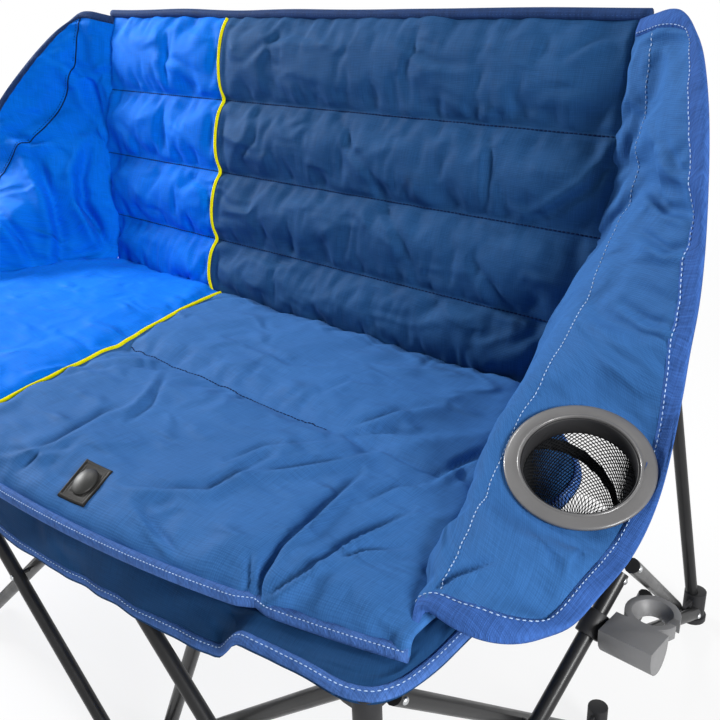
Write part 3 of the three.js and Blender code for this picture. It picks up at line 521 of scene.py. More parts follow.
def sides_of(obj):
    """1 for the points of a pad's front, -1 for those of its rear, and between on its rim."""
    side = np.empty(len(obj.data.vertices), np.float32)
    obj.data.attributes["side"].data.foreach_get("value", side)
    return side


def crumple(obj, lift_of, both=False):
    """Moves each point of a pad's front along its normal. With both, the rear goes with the front."""
    points = coords(obj)
    normals = np.empty(len(points) * 3)
    obj.data.vertex_normals.foreach_get("vector", normals)
    side = sides_of(obj)
    lift = lift_of(points) * (side if both else np.clip(side, 0.0, 1.0))
    set_coords(obj, points + normals.reshape(-1, 3) * lift[:, None])


def sweep(name, path, radius, material, sides=8, flat=1.0, up=None):
    """A tube along a path. flat squeezes it along up, one direction for each point."""
    path = np.asarray(path, float)
    count = len(path)
    ahead = np.roll(path, -1, 0) - np.roll(path, 1, 0)
    ahead[0], ahead[-1] = path[1] - path[0], path[-1] - path[-2]
    ahead = unit(ahead)
    up = np.tile((0.0, 0.0, 1.0), (count, 1)) if up is None else np.asarray(up, float)
    side = unit(np.cross(ahead, up))
    up = np.cross(side, ahead)
    turn = np.arange(sides) * 2.0 * math.pi / sides
    rings = (path[:, None, :] + side[:, None, :] * (radius * np.cos(turn))[None, :, None]
             + up[:, None, :] * (radius * flat * np.sin(turn))[None, :, None])
    return mesh_object(name, rings.reshape(-1, 3), tube_faces(count, sides), [material])


def along(stops, run, line):
    """Points of a line at distances along it."""
    return np.stack([np.interp(stops, run, line[:, k]) for k in range(3)], -1)


def resample(path, spacing, *others):
    """Even points along a path, and whatever else is given for its points."""
    run = run_of(path)
    stops = np.linspace(0.0, run[-1], max(2, int(round(run[-1] / spacing)) + 1))
    made = [along(stops, run, line) for line in (path, *others)]
    return made if others else made[0]


def surface_of(obj):
    mesh = obj.data
    return BVHTree.FromPolygons([v.co for v in mesh.vertices], [p.vertices for p in mesh.polygons])


def lay_on(path, tree, lift):
    """Brings each point of a path onto a surface, and returns the points and the surface's normals."""
    points, normals = [], []
    for p in path:
        place, normal, _, _ = tree.find_nearest(Vector(p))
        points.append(np.array(place + normal * lift))
        normals.append(np.array(normal))
    return np.array(points), np.array(normals)


def drop_on(path, ups, tree, lift):
    """Brings each point of a path straight down onto a surface."""
    points = []
    for p, up in zip(path, ups):
        hit = tree.ray_cast(Vector(p + up * 0.05), Vector(-up), 0.09)[0]
        points.append((p if hit is None else np.array(hit)) + up * lift)
    return np.array(points)


def smoothed(path, rounds):
    path = np.array(path, float)
    for _ in range(rounds):
        path[1:-1] = 0.25 * path[:-2] + 0.5 * path[1:-1] + 0.25 * path[2:]
    return path


def about(points, centre, axis):
    """Height along an axis through centre, and distance from the axis, for each point."""
    rise = (points - centre) @ axis
    return rise, np.linalg.norm(points - centre - rise[:, None] * axis, axis=1)


def edge_band(name, edge, inward, normal, tree, width, material, corner, cup, axis):
    """A tape folded over a cloth's edge. Returns it and a line near its inner edge."""
    lines = []
    lift = 0.0011 + 0.0020 * np.exp(-(np.linalg.norm(edge - corner, axis=1) / 0.030) ** 2)[:, None]
    profile = ((width, 1), (width * 0.7, 1), (width * 0.4, 1), (0.0035, 1), (-0.0012, 0.6), (-0.0020, 0),
               (-0.0012, -0.6), (0.0035, -1), (width * 0.5, -1), (width, -1))
    for deep, face in profile:
        line = smoothed(edge + inward * deep, 14 if deep > 0.004 else 2)
        if abs(face) == 1:
            line = drop_on(line, normal * face, tree, 0.0)
            line = line + normal * face * (lift if deep < width else lift - 0.0008)
            rise, spread = about(line, cup, axis)
            under_ring = (spread < RING_REACH) & (np.abs(rise) < 0.03) & (face > 0)
            line = np.where(under_ring[:, None], line + np.minimum(0.0, 0.0020 - rise)[:, None] * axis, line)
        else:
            line = line + normal * face * (0.004 + lift)
        lines.append(smoothed(line, 1))
    verts = np.stack(lines, 1).reshape(-1, 3)
    tape = mesh_object(name, verts, tube_faces(len(edge), len(lines)), [material])
    return tape, mix(lines[0], lines[1], 0.6)


# Along one stitch: share of its length, size there, and height of its sides
STITCH_STATIONS = ((0.0, 0.35, -0.6), (0.25, 1.0, -0.3), (0.75, 1.0, -0.3), (1.0, 0.35, -0.6))


def stitches(name, paths, material, dash=0.0032, gap=0.0020, thick=0.0005, width=0.0005):
    """Sewing thread along paths of points and normals: one short rounded dash for each stitch."""
    verts, faces = [], []
    dash_faces = tube_faces(4, 4)
    for points, normals in paths:
        run = run_of(points)
        for start in np.arange(gap, run[-1] - dash, dash + gap):
            base = len(verts)
            for share, size, low in STITCH_STATIONS:
                stop = start + dash * share
                p = along(stop, run, points)
                n = unit(along(stop, run, normals))
                across = np.cross(unit(along(stop + 1e-4, run, points) - p), n)
                for a, b in ((-1, low), (-0.6, 1), (0.6, 1), (1, low)):
                    verts.append(p + across * a * width * size + n * b * thick * size)
            faces.extend(tuple(base + i for i in face) for face in dash_faces)
    return mesh_object(name, verts, faces, [material])


def turned(profile, segments, origin, axis, closed=True):
    """Points and faces of a turned form: profile is (radius, height) pairs about an axis through origin."""
    turn = Vector(axis).normalized().to_track_quat("Z", "Y").to_matrix()
    count = len(profile)
    verts, faces = [], []
    for s in range(segments):
        angle = 2.0 * math.pi * s / segments
        after = (s + 1) % segments
        for r, h in profile:
            spot = Vector((r * math.cos(angle), r * math.sin(angle), h))
            verts.append(np.array(Vector(origin) + turn @ spot))
        for k in range(count if closed else count - 1):
            n = (k + 1) % count
            faces.append((s * count + k, after * count + k, after * count + n, s * count + n))
    return verts, faces


def lathe(name, profile, segments, origin, axis, material, closed=True):
    verts, faces = turned(profile, segments, origin, axis, closed)
    return mesh_object(name, verts, faces, [material])


def fold_with(obj, body):
    """The piece gets its own mesh and rides on a body."""
    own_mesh(obj)
    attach(obj, body)


def on_seat(obj):
    """A piece of the seat or back, which rides on the seat's hub."""
    fold_with(obj, CLOTH_BODY)


def on_arm(obj, side):
    """A piece of an arm, which rides on its side hub."""
    fold_with(obj, f"side_hub_{side}")


def cup_line(sign):
    """Centre and axis of a cup holder."""
    centre = np.array((sign * CUP_CENTRE[0], CUP_CENTRE[1] + DEPTH_SHIFT, CUP_CENTRE[2]))
    axis = Vector((sign * CUP_AXIS[0], CUP_AXIS[1], CUP_AXIS[2])).normalized()
    return centre, np.array(axis)


# Creases: (line in the image, depth in metres, width in pixels)

BACK_CREASES = (
    (((243, 62), (262, 44), (290, 34), (318, 40)), 0.003, 4.0),
    (((160, 42), (170, 58), (190, 68), (212, 82)), 0.003, 4.0),
    (((118, 120), (135, 142), (150, 160)), 0.003, 3.5),
    (((180, 196), (192, 178), (206, 190), (212, 214)), 0.003, 3.5),
    (((258, 110), (252, 140), (236, 160)), 0.0035, 4.0),
    (((340, 108), (352, 150), (372, 176), (380, 196)), 0.003, 4.0),
    (((490, 134), (488, 170), (484, 212)), 0.004, 4.0),
    (((620, 148), (588, 190), (548, 214), (520, 226)), 0.005, 5.0),
    (((470, 262), (490, 288), (500, 306), (532, 322)), 0.005, 4.5),
    (((380, 190), (398, 240), (416, 280)), 0.004, 4.5),
    (((250, 250), (272, 262), (300, 258), (322, 268)), 0.003, 4.0),
    (((560, 60), (590, 40), (624, 32)), 0.003, 4.5),
    (((400, 40), (430, 62), (470, 66)), 0.003, 4.5),
)
SEAT_CREASES = (
    (((251, 614), (263, 577), (288, 541), (324, 503), (359, 470)), 0.006, 4.5),
    (((260, 600), (315, 563), (356, 535), (411, 508)), 0.005, 4.0),
    (((121, 481), (165, 486), (208, 486), (236, 472), (274, 456)), 0.004, 4.0),
    (((137, 503), (154, 527), (175, 552)), 0.004, 4.0),
    (((247, 472), (291, 466), (329, 459), (376, 449)), 0.004, 3.5),
    (((225, 461), (263, 445), (302, 442), (337, 438)), 0.003, 3.5),
    (((0, 452), (55, 440), (104, 409), (132, 401)), 0.004, 4.0),
    (((340, 431), (365, 420), (398, 409), (440, 404)), 0.004, 3.5),
    (((345, 436), (390, 430), (430, 436)), 0.003, 3.0),
    (((324, 563), (365, 549), (411, 546)), 0.003, 3.5),
    (((386, 648), (404, 622), (421, 600)), 0.007, 5.0),
    (((246, 605), (248, 578), (249, 553)), 0.004, 4.0),
    (((430, 478), (462, 462), (486, 452)), 0.004, 4.0),
    (((360, 500), (398, 482), (440, 480)), 0.003, 4.0),
    (((60, 330), (90, 345), (135, 350)), 0.003, 4.0),
    (((20, 372), (60, 362), (96, 368)), 0.003, 3.5),
    (((250, 345), (290, 362), (330, 362)), 0.003, 3.5),
    (((320, 392), (350, 378), (400, 384), (450, 396)), 0.003, 3.5),
    (((165, 375), (150, 400), (128, 418)), 0.003, 3.5),
    (((20, 470), (40, 452), (70, 448)), 0.003, 3.5),
)
LEFT_CREASES = (
    (((31, 153), (51, 194), (61, 235), (59, 278)), 0.009, 6.0),
    (((88, 150), (80, 178), (84, 205), (107, 246)), 0.010, 5.5),
    (((66, 210), (76, 198), (92, 216), (104, 240)), 0.006, 4.5),
    (((0, 212), (22, 240), (34, 262)), 0.006, 5.0),
    (((62, 262), (84, 254), (106, 250)), 0.006, 4.5),
    (((8, 132), (30, 142), (52, 140)), 0.004, 4.0),
    (((70, 60), (88, 84), (100, 120)), 0.006, 6.0),
)
RIGHT_CREASES = (
    (((600, 505), (586, 540), (575, 566)), 0.003, 4.0),
    (((536, 520), (548, 548), (560, 572)), 0.003, 4.0),
    (((650, 190), (668, 210), (690, 214)), 0.004, 5.0),
    (((640, 232), (668, 250), (696, 246)), 0.004, 5.0),
    (((618, 300), (650, 322), (690, 330)), 0.003, 5.0),
    (((664, 140), (676, 168), (698, 176)), 0.003, 4.5),
    (((430, 592), (456, 574), (500, 560)), 0.003, 4.0),
)


# Back pad

BACK_SLANT = math.hypot(BACK_TOP[0] - BACK_LOW[0], BACK_TOP[1] - BACK_LOW[1])
BACK_UP = np.array((0.0, (BACK_TOP[0] - BACK_LOW[0]) / BACK_SLANT, (BACK_TOP[1] - BACK_LOW[1]) / BACK_SLANT))
BACK_OUT = np.array((0.0, -BACK_UP[2], BACK_UP[1]))


def back_outs(count):
    return np.tile(BACK_OUT, (count, 1))


def back_half(v):
    return float(mix(BACK_HALF_LOW, BACK_HALF_TOP, ease(v, 0.0, 0.42)))


def columns(low, split, high, left, right):
    """Places across a row, with one column on the piping line."""
    a = np.linspace(0.0, 1.0, left + 1)
    b = np.linspace(0.0, 1.0, right + 1)[1:]
    return np.concatenate((mix(low, split, a), mix(split, high, b)))


def back_place(x, v):
    return np.array((x, mix(BACK_LOW[0], BACK_TOP[0], v) + DEPTH_SHIFT, mix(BACK_LOW[1], BACK_TOP[1], v)))


def back_share(v):
    """How far up its band between two seams v lies, from 0 to 1."""
    band = max(k for k in range(4) if BACK_SEAMS[k] <= v)
    return min(1.0, (v - BACK_SEAMS[band]) / (BACK_SEAMS[band + 1] - BACK_SEAMS[band]))


def back_edge_x(v):
    """Where the two colours meet: the line bows out between the sewn seams."""
    return mix(*BACK_PIPE, v) - 0.007 * math.sin(math.pi * back_share(v))


def make_back():
    stops, sewn = [], []
    for a, b in zip(BACK_SEAMS, BACK_SEAMS[1:]):
        steps = max(4, int(round((b - a) * BACK_SLANT / BACK_CELL)))
        stops += [mix(a, b, s / steps) for s in range(steps)]
        sewn += [s == 0 for s in range(steps)]
    stops.append(1.0)
    sewn.append(True)
    left, right = BACK_COLUMNS
    rows, cols = len(stops), left + right + 1
    middle, depth, uv = np.empty((rows, cols, 3)), np.empty((rows, cols)), np.empty((rows, cols, 2))
    for r, v in enumerate(stops):
        half = back_half(v)
        crown = math.sin(math.pi * back_share(v)) ** 0.38
        for c, x in enumerate(columns(-half, back_edge_x(v), half, left, right)):
            across = abs(x) / half
            middle[r, c] = back_place(x, v) - BACK_OUT * BACK_BEHIND
            full = crown * (1.0 - across ** 10)
            depth[r, c] = mix(BACK_THIN, BACK_THICK, full) if across < 0.999 else 0.004
            uv[r, c] = (x, v * BACK_SLANT)
    normal = np.tile(BACK_OUT, (rows, cols, 1))
    # The back's navy columns take the darker copy of the navy cloth, which is painted shade.
    pad = slab("back_cushion", middle, normal, depth, uv, [MAT_SHADED_NAVY_BACK, MAT_BLUE], left, rear=0.45)
    pin = np.zeros((rows, cols))
    pin[np.array(sewn), :] = 1.0
    pin[:, 0] = pin[:, -1] = pin[:, left] = 1.0
    puff(pad, np.concatenate((pin.ravel(), pin.ravel())), 2.5, -0.05, 0.009)
    subdivide(pad)

    def lift_of(points):
        lift = crease_field(points, BACK_CREASES)
        for k, p in enumerate(points):
            v = (p[2] - BACK_LOW[1]) / (BACK_TOP[1] - BACK_LOW[1])
            seam = min(range(5), key=lambda i: abs(v - BACK_SEAMS[i]))
            gap = abs(v - BACK_SEAMS[seam]) * BACK_SLANT
            near = math.exp(-(gap / 0.024) ** 2)
            x, y = p[0], v * BACK_SLANT
            beside = abs(x - back_edge_x(min(1.0, max(BACK_TUCK, v))))
            free = min(1.0, gap / 0.009) * min(1.0, 0.1 + beside / 0.020)
            pucker = wobble(x, 0.0, 1 + seam, 58.0) + 0.6 * wobble(x, y, 31 + seam, 26.0)
            folds = crumpled(x, y, 9, 12.0, 62.0, 0.36) + crumpled(x, y, 10, 10.0, 124.0, 0.36)
            lift[k] = free * (1.2 * lift[k] + 0.0034 * pucker * near + 0.0021 * folds)
        return lift

    crumple(pad, lift_of)
    return pad


# Seat pad

def seat_line(v):
    """Middle line of the seat from the rear, v 0, over the front lip, v 1: (y, z)."""
    if v < SEAT_SEAM_AT:
        return mix(SEAT_REAR, SEAT_SEAM, v / SEAT_SEAM_AT), SEAT_Z
    if v < SEAT_LIP_AT:
        return mix(SEAT_SEAM, SEAT_LIP, (v - SEAT_SEAM_AT) / SEAT_FLAT_SHARE), SEAT_Z
    t = (v - SEAT_LIP_AT) / SEAT_LIP_SHARE
    y = (1 - t) ** 2 * SEAT_LIP + 2 * (1 - t) * t * SEAT_FRONT + t * t * SEAT_FRONT
    z = (1 - t) ** 2 * SEAT_Z + 2 * (1 - t) * t * SEAT_Z + t * t * SEAT_LOW
    return y, z


def seat_out(v):
    """Direction out of the seat's surface."""
    y1, z1 = seat_line(max(0.0, v - 0.002))
    y2, z2 = seat_line(min(1.0, v + 0.002))
    return unit(np.array((0.0, z2 - z1, y1 - y2)))


def seat_half(y):
    stops, halves = zip(*SEAT_SIDE[::-1])
    return float(np.interp(y, stops, halves))


def seat_pipe_x(y):
    return mix(*SEAT_PIPE, (SEAT_REAR - y) / SEAT_PIPE_RUN)


def seat_drawn(x):
    """How far back the front edge is drawn, towards the corners and at a pinched seam."""
    a = abs(x)
    return 0.090 * (a / 0.601) ** 2.14 + 0.006 * math.exp(-((a - 0.470) / 0.010) ** 2)


PATCH_LOW, PATCH_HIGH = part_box("patch")
PATCH_PLACE = (PATCH_LOW + PATCH_HIGH) * 0.5 + Vector((-0.008, 0.001, 0.0))
PATCH_X = np.array((0.0198, 0.0026))
PATCH_Y = np.array((-0.0066, 0.0224))


def make_seat():
    stops = np.concatenate((np.linspace(0.0, SEAT_SEAM_AT, 30),
                            np.linspace(SEAT_SEAM_AT, SEAT_LIP_AT, 31)[1:],
                            np.linspace(SEAT_LIP_AT, 1.0, 8)[1:]))
    left, right = SEAT_COLUMNS
    rows, cols = len(stops), left + right + 1
    middle, normal = np.empty((rows, cols, 3)), np.empty((rows, cols, 3))
    depth, uv = np.empty((rows, cols)), np.empty((rows, cols, 2))
    run = run_of([seat_line(v) for v in stops])
    for r, v in enumerate(stops):
        y, z = seat_line(v)
        half = seat_half(y)
        t = v / SEAT_SEAM_AT if v < SEAT_SEAM_AT else (v - SEAT_SEAM_AT) / SEAT_FRONT_SHARE
        crown = math.sin(math.pi * min(1.0, t)) ** 0.55
        normal[r] = seat_out(v)
        for c, x in enumerate(columns(-half, seat_pipe_x(y), half, left, right)):
            across = min(1.0, abs(x) / half)
            curl = 0.007 * across ** 14 * float(ease(-y, 0.2, 0.1))
            middle[r, c] = (x, y + seat_drawn(x) * float(ease(v, 0.5, 1.0)) + DEPTH_SHIFT, z + curl)
            seam = SEAT_EDGE if x > seat_pipe_x(y) else SEAT_EDGE_BLUE
            edge = seam if 0.1 < v < SEAT_LIP_AT else SEAT_EDGE
            depth[r, c] = mix(edge, SEAT_THICK, crown * (1.0 - across ** 8))
            uv[r, c] = (x, run[r])
    pad = slab("seat_cushion", middle, normal, depth, uv, [MAT_NAVY, MAT_BLUE], left, rear=0.7)
    pin = np.zeros((rows, cols))
    pin[0, :] = pin[-1, :] = 1.0
    pin[:, 0] = pin[:, -1] = pin[:, left] = 1.0
    seam_row = int(np.argmin(np.abs(stops - SEAT_SEAM_AT)))
    pin[seam_row, left + 4:-20] = 1.0
    pin[seam_row, left + 1:left + 4] = 0.5
    low = np.maximum(pin, 0.35)
    puff(pad, np.concatenate((pin.ravel(), low.ravel())), 3.5, -0.035, 0.009)
    subdivide(pad)

    def lift_of(points):
        lift = crease_field(points, SEAT_CREASES)
        for k, p in enumerate(points):
            x, y = p[0], p[1] - DEPTH_SHIFT
            edge = min(1.0, max(0.0, (seat_half(y) - abs(x)) / 0.03))
            edge *= min(1.0, max(0.0, (SEAT_REAR - y) / 0.02))
            edge *= min(1.0, max(0.0, (p[2] - SEAT_LOW - 0.003) / 0.016))
            edge *= float(ease(math.hypot(p[0] - PATCH_PLACE.x, p[1] - PATCH_PLACE.y), 0.026, 0.060))
            edge *= min(1.0, 0.1 + abs(x - seat_pipe_x(y)) / 0.020)
            gap = abs(y - SEAT_SEAM)
            near = math.exp(-(gap / 0.03) ** 2) * min(1.0, gap / 0.006) * (x > seat_pipe_x(y))
            folds = crumpled(x, y, 15, 9.0, 24.0, 0.34) + crumpled(x, y, 16, 13.0, 155.0, 0.4)
            lift[k] = edge * (1.5 * lift[k] + 0.0034 * wobble(x, 0.2, 3, 46.0) * near + 0.0036 * folds)
        return lift

    crumple(pad, lift_of)
    return pad


# Arms

def spline_at(points, at):
    """Centripetal Catmull-Rom through points, at places counted in points."""
    p = np.asarray(points, float)
    p = np.concatenate((2 * p[:1] - p[1:2], p, 2 * p[-1:] - p[-2:-1]))
    knot = np.concatenate(((0.0,), np.cumsum(np.linalg.norm(np.diff(p, axis=0), axis=1) ** 0.5 + 1e-9)))
    made = []
    for place in at:
        k = min(max(int(place), 0), len(points) - 2) + 1
        t0, t1, t2, t3 = knot[k - 1:k + 3]
        t = mix(t1, t2, place - (k - 1))
        a1 = mix(p[k - 1], p[k], (t - t0) / (t1 - t0))
        a2 = mix(p[k], p[k + 1], (t - t1) / (t2 - t1))
        a3 = mix(p[k + 1], p[k + 2], (t - t2) / (t3 - t2))
        b1 = mix(a1, a2, (t - t0) / (t2 - t0))
        b2 = mix(a2, a3, (t - t1) / (t3 - t1))
        made.append(mix(b1, b2, (t - t1) / (t2 - t1)))
    return np.array(made)


def arm_surface(sign):
    """Middle surface of an arm, from the back's top to the front corner, and its normals."""
    inner, ridge, outer = (np.array(line) * 0.001 for line in (ARM_INNER, ARM_RIDGE, ARM_OUTER))
    if sign < 0:
        outer = outer + np.array(ARM_LEFT) * 0.001
    hollow = np.array(ARM_HOLLOW)[:, None] * (0.0, 0.0, -1.0)
    lines = (inner, mix(inner, ridge, 0.5) + hollow, ridge, mix(ridge, outer, 0.5) + (0.0, 0.0, 0.006), outer)
    dense = np.linspace(0.0, 9.0, 400)
    length = run_of(spline_at(ridge, dense))
    at = np.interp(np.linspace(0.0, length[-1], ARM_ROWS), length, dense)
    rails = [spline_at(line, at) for line in lines]
    across = np.concatenate((np.linspace(0.0, 2.0, ARM_IN + 1), np.linspace(2.0, 4.0, ARM_OUT + 1)[1:]))
    rows, cols = ARM_ROWS, len(across)
    middle = np.array([spline_at([rail[r] for rail in rails], across) for r in range(rows)])
    out_share = np.clip((across - 2.0) / 2.0, 0.0, 1.0)
    front = ease(np.arange(rows), rows * 0.80, rows - 1)
    middle[..., 1] -= 0.017 * front[:, None] * np.sin(np.pi * out_share)[None, :]
    middle[..., 2] -= 0.006 * front[:, None] * np.sin(np.pi * out_share)[None, :]
    plain = middle.copy()
    reach = 9
    for r_end, step in ((0, 1), (rows - 1, -1)):
        for i in range(reach):
            for j in range(reach):
                r, c = r_end + step * i, cols - 1 - j
                pull = ((1 - i / reach) * (1 - j / reach)) ** 2 * 0.45
                middle[r, c] = mix(middle[r, c], middle[r_end + step * reach, cols - 1 - reach], pull * 0.5)
    middle[..., 0] *= sign
    plain[..., 0] *= sign
    middle[..., 1] += DEPTH_SHIFT
    normal = unit(np.cross(np.gradient(plain, axis=1), np.gradient(plain, axis=0)))
    if normal[rows // 2:, :, 2].mean() < 0:
        normal = -normal
    return middle, normal


def make_arm(sign):
    side = "right" if sign > 0 else "left"
    middle, normal = arm_surface(sign)
    rows, cols = middle.shape[:2]
    edge = np.minimum(np.minimum(np.arange(rows), rows - 1 - np.arange(rows))[:, None] / 4.0,
                      np.minimum(np.arange(cols), cols - 1 - np.arange(cols))[None, :] / 3.0)
    depth = mix(ARM_THIN, ARM_THICK, np.clip(edge, 0.0, 1.0))
    uv = np.stack((run_of(middle, 1), run_of(middle, 0)), 2)
    arm = slab(f"arm_cloth_{side}", middle, normal, depth, uv, [MAT_NAVY if sign > 0 else MAT_BLUE], rear=0.9)
    centre, axis = cup_line(sign)
    pin = np.zeros((rows, cols))
    pin[0, :] = pin[-1, :] = 1.0
    pin[:, 0] = pin[:, -1] = 1.0
    pin[np.linalg.norm(middle - centre, axis=2) < 0.072] = 1.0
    puff(arm, np.concatenate((pin.ravel(), pin.ravel())), 1.5, -0.035, 0.007)
    subdivide(arm)
    rim = np.concatenate((middle[0], middle[:, -1], middle[-1], middle[:, 0]))
    links = [(k, k + 1, k + 1) for k in range(len(rim) - 1)]
    rim_tree = BVHTree.FromPolygons([Vector(p) for p in rim], links)

    def lift_of(points):
        lift = crease_field(points, RIGHT_CREASES if sign > 0 else LEFT_CREASES)
        strength = 1.6 if sign > 0 else 2.3
        for k, p in enumerate(points):
            gap = rim_tree.find_nearest(Vector(p))[3]
            ring = np.linalg.norm(p - centre)
            free = min(1.0, gap / 0.02) * float(ease(ring, RING_FLAT, 0.1))
            down = p[2] - 0.7 * p[1]
            folds = crumpled(p[0], down, 21, 9.0, 35.0, 0.4)
            folds += 0.6 * crumpled(p[0], down, 22, 13.0, 140.0, 0.4)
            lift[k] = free * (strength * lift[k] + 0.0034 * folds)
        return lift

    crumple(arm, lift_of, both=True)
    cut_cup_hole(arm, centre, axis)
    return arm, middle, normal


def cut_cup_hole(arm, centre, axis):
    """Flattens the cloth where the ring sits, and cuts the hole inside it."""
    points, facing = coords(arm), sides_of(arm)
    rise, spread = about(points, centre, axis)
    flat = 1.0 - ease(spread, RING_FLAT, RING_FADE)
    flat[np.abs(rise) > 0.05] = 0.0
    level = np.where(facing > 0.5, 0.0012, np.where(facing < -0.5, -0.0060, rise))
    set_coords(arm, points + ((level - rise) * flat)[:, None] * axis)
    wall = [(HOLE_RADIUS, -0.05), (HOLE_RADIUS, 0.05)]
    cutter = lathe("cutter", wall, 72, centre, axis, MAT_NAVY, closed=False)
    closing = bmesh.new()
    closing.from_mesh(cutter.data)
    bmesh.ops.holes_fill(closing, edges=[e for e in closing.edges if e.is_boundary])
    bmesh.ops.recalc_face_normals(closing, faces=closing.faces)
    closing.to_mesh(cutter.data)
    closing.free()
    cut = arm.modifiers.new("cup_hole", "BOOLEAN")
    cut.object = cutter
    cut.solver = "EXACT"
    bake(arm)
    bpy.data.objects.remove(cutter)
    arm.data.polygons.foreach_set("use_smooth", np.full(len(arm.data.polygons), True))


# Front flap, which goes round both corners and back along the sides

# Points round a corner: a point of the top line, then one of the hem
FLAP_CORNER = (
    (0.555, -0.240, 0.370, 0.5665, -0.2740, 0.3525), (0.574, -0.232, 0.370, 0.590, -0.2725, 0.3520),
    (0.584, -0.224, 0.371, 0.6045, -0.2650, 0.3520), (0.588, -0.212, 0.372, 0.6134, -0.2483, 0.3535),
    (0.590, -0.195, 0.374, 0.6183, -0.2242, 0.3565), (0.592, -0.172, 0.376, 0.6230, -0.1922, 0.3595),
    (0.592, -0.145, 0.378, 0.6238, -0.1555, 0.3620), (0.582, -0.110, 0.379, 0.6200, -0.1180, 0.3630),
    (0.556, -0.075, 0.379, 0.5900, -0.0780, 0.3560), (0.536, -0.030, 0.379, 0.5620, -0.0300, 0.3460),
    (0.513, 0.030, 0.379, 0.5560, 0.0300, 0.3390), (0.490, 0.090, 0.379, 0.5550, 0.0950, 0.3350),
    (0.466, 0.150, 0.379, 0.5400, 0.1550, 0.3350), (0.452, 0.180, 0.379, 0.5000, 0.1900, 0.3480),
    (0.442, 0.200, 0.380, 0.4500, 0.2060, 0.3740),
)


def flap_low(x):
    a = abs(x)
    low = 0.280 + 0.038 * min(1.0, a / 0.435) ** 2
    return mix(low, 0.3525, float(ease(a, 0.437, 0.476)))


def flap_lines():
    """Top line and hem line of the flap, from the left side round the front to the right side."""
    half = []
    for x in np.linspace(0.0, 0.548, 80):
        near = seat_drawn(x)
        hem = -0.2940 + 0.020 * (x / 0.5665) ** 3
        half.append((x, min(SEAT_FRONT + 0.047 + near, -0.244), 0.370, x, hem, flap_low(x)))
    stations = np.concatenate((np.linspace(0.0, 7.0, 36), np.linspace(7.0, len(FLAP_CORNER) - 1.0, 30)[1:]))
    corner = np.concatenate([spline_at([p[:3] for p in FLAP_CORNER], stations),
                             spline_at([p[3:] for p in FLAP_CORNER], stations)], 1)
    half = np.concatenate((np.array(half), corner))
    mirror = half[:0:-1] * np.array((-1.0, 1.0, 1.0, -1.0, 1.0, 1.0))
    whole = np.concatenate((mirror, half))
    return whole[:, :3], whole[:, 3:]


def make_flap():
    top, hem = flap_lines()
    cols, rows = len(top), FLAP_ROWS
    forward = unit(np.gradient(hem[:, :2], axis=0))
    outward = np.stack((forward[:, 1], -forward[:, 0], np.zeros(cols)), 1)
    run = run_of(hem)
    verts, uv = [], []
    for layer in (0.0, FLAP_THICK):
        for r in range(rows):
            t = r / (rows - 1)
            for c in range(cols):
                wave = t * (0.004 * wobble(run[c], 0.0, 21, 9.0) + 0.0035 * wobble(run[c], 0.3, 24, 26.0))
                sag = math.sin(math.pi * t)
                crease = 0.004 * sag * crumpled(run[c], t * 0.08, 27, 13.0, 70.0, 0.4)
                p = mix(top[c], hem[c], t) + outward[c] * (0.004 * sag + wave + layer + crease)
                p[2] += 0.004 * sag - layer + 0.0025 * t * wobble(run[c], 1.0, 22, 12.0)
                verts.append((p[0], p[1] + DEPTH_SHIFT, p[2]))
                uv.append((run[c], t * 0.09))
    # The flap takes the darker copy of the navy cloth, which is painted shade under the seat's edge.
    cloth = mesh_object("flap_cloth", verts, shell_faces(rows, cols), [MAT_SHADED_NAVY_FLAP], uv)
    edge = np.array([verts[(rows - 1) * cols + c] for c in range(cols)])
    inward = unit(np.array([verts[(rows - 3) * cols + c] for c in range(cols)]) - edge)
    facing = unit(np.cross(np.gradient(edge, axis=0), inward))
    facing *= np.sign(np.sum(facing * (outward + (0.0, 0.0, 0.6)), axis=1))[:, None]
    size = (float(run[-1]), float(np.linalg.norm(hem - top, axis=1).max()))
    return cloth, edge, inward, facing, size


# Piping on the line where the two colours meet

def make_piping(name, line, ups, tree):
    path = smoothed(drop_on(line, ups, tree, 0.0012), 3)
    cord = sweep(f"{name}_cord", path, PIPE_RADIUS, MAT_PIPING, up=ups)
    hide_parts(name)
    on_seat(cord)


def pipe_back(tree):
    line = [back_place(back_edge_x(v), v) for v in np.linspace(-0.01, 0.985, 110)]
    make_piping("piping_back", line, back_outs(len(line)), tree)


def pipe_seat(tree):
    stops = np.linspace(0.02, 0.985, 120)
    spots = [seat_line(v) for v in stops]
    line = [np.array((seat_pipe_x(y), y + DEPTH_SHIFT, z)) for y, z in spots]
    make_piping("piping_seat", line, [seat_out(v) for v in stops], tree)


# Binding tape and sewing thread

SEAM_STITCH = {"dash": 0.0048, "gap": 0.0009, "thick": 0.0006}


def bind_back():
    """Tape over the back's top edge, with its stitches."""
    reach = BACK_HALF_TOP + 0.002
    line = np.array([back_place(x, 1.0) - BACK_OUT * (BACK_BEHIND - 0.004)
                     for x in np.linspace(-reach, reach, 130)])
    line[:, 2] += 0.0010
    line[:, 2] += 0.0025 * np.array([wobble(p[0], 0.0, 51, 6.0) for p in line])
    outs = back_outs(len(line))
    on_seat(sweep("binding_back", line, BINDING_RADIUS, MAT_BINDING, sides=12, flat=0.9, up=outs))
    sewn = line + BACK_OUT * 0.0056 - (0.0, 0.0, 0.0020)
    on_seat(stitches("binding_back_thread", [(sewn, outs)], MAT_TAPE))


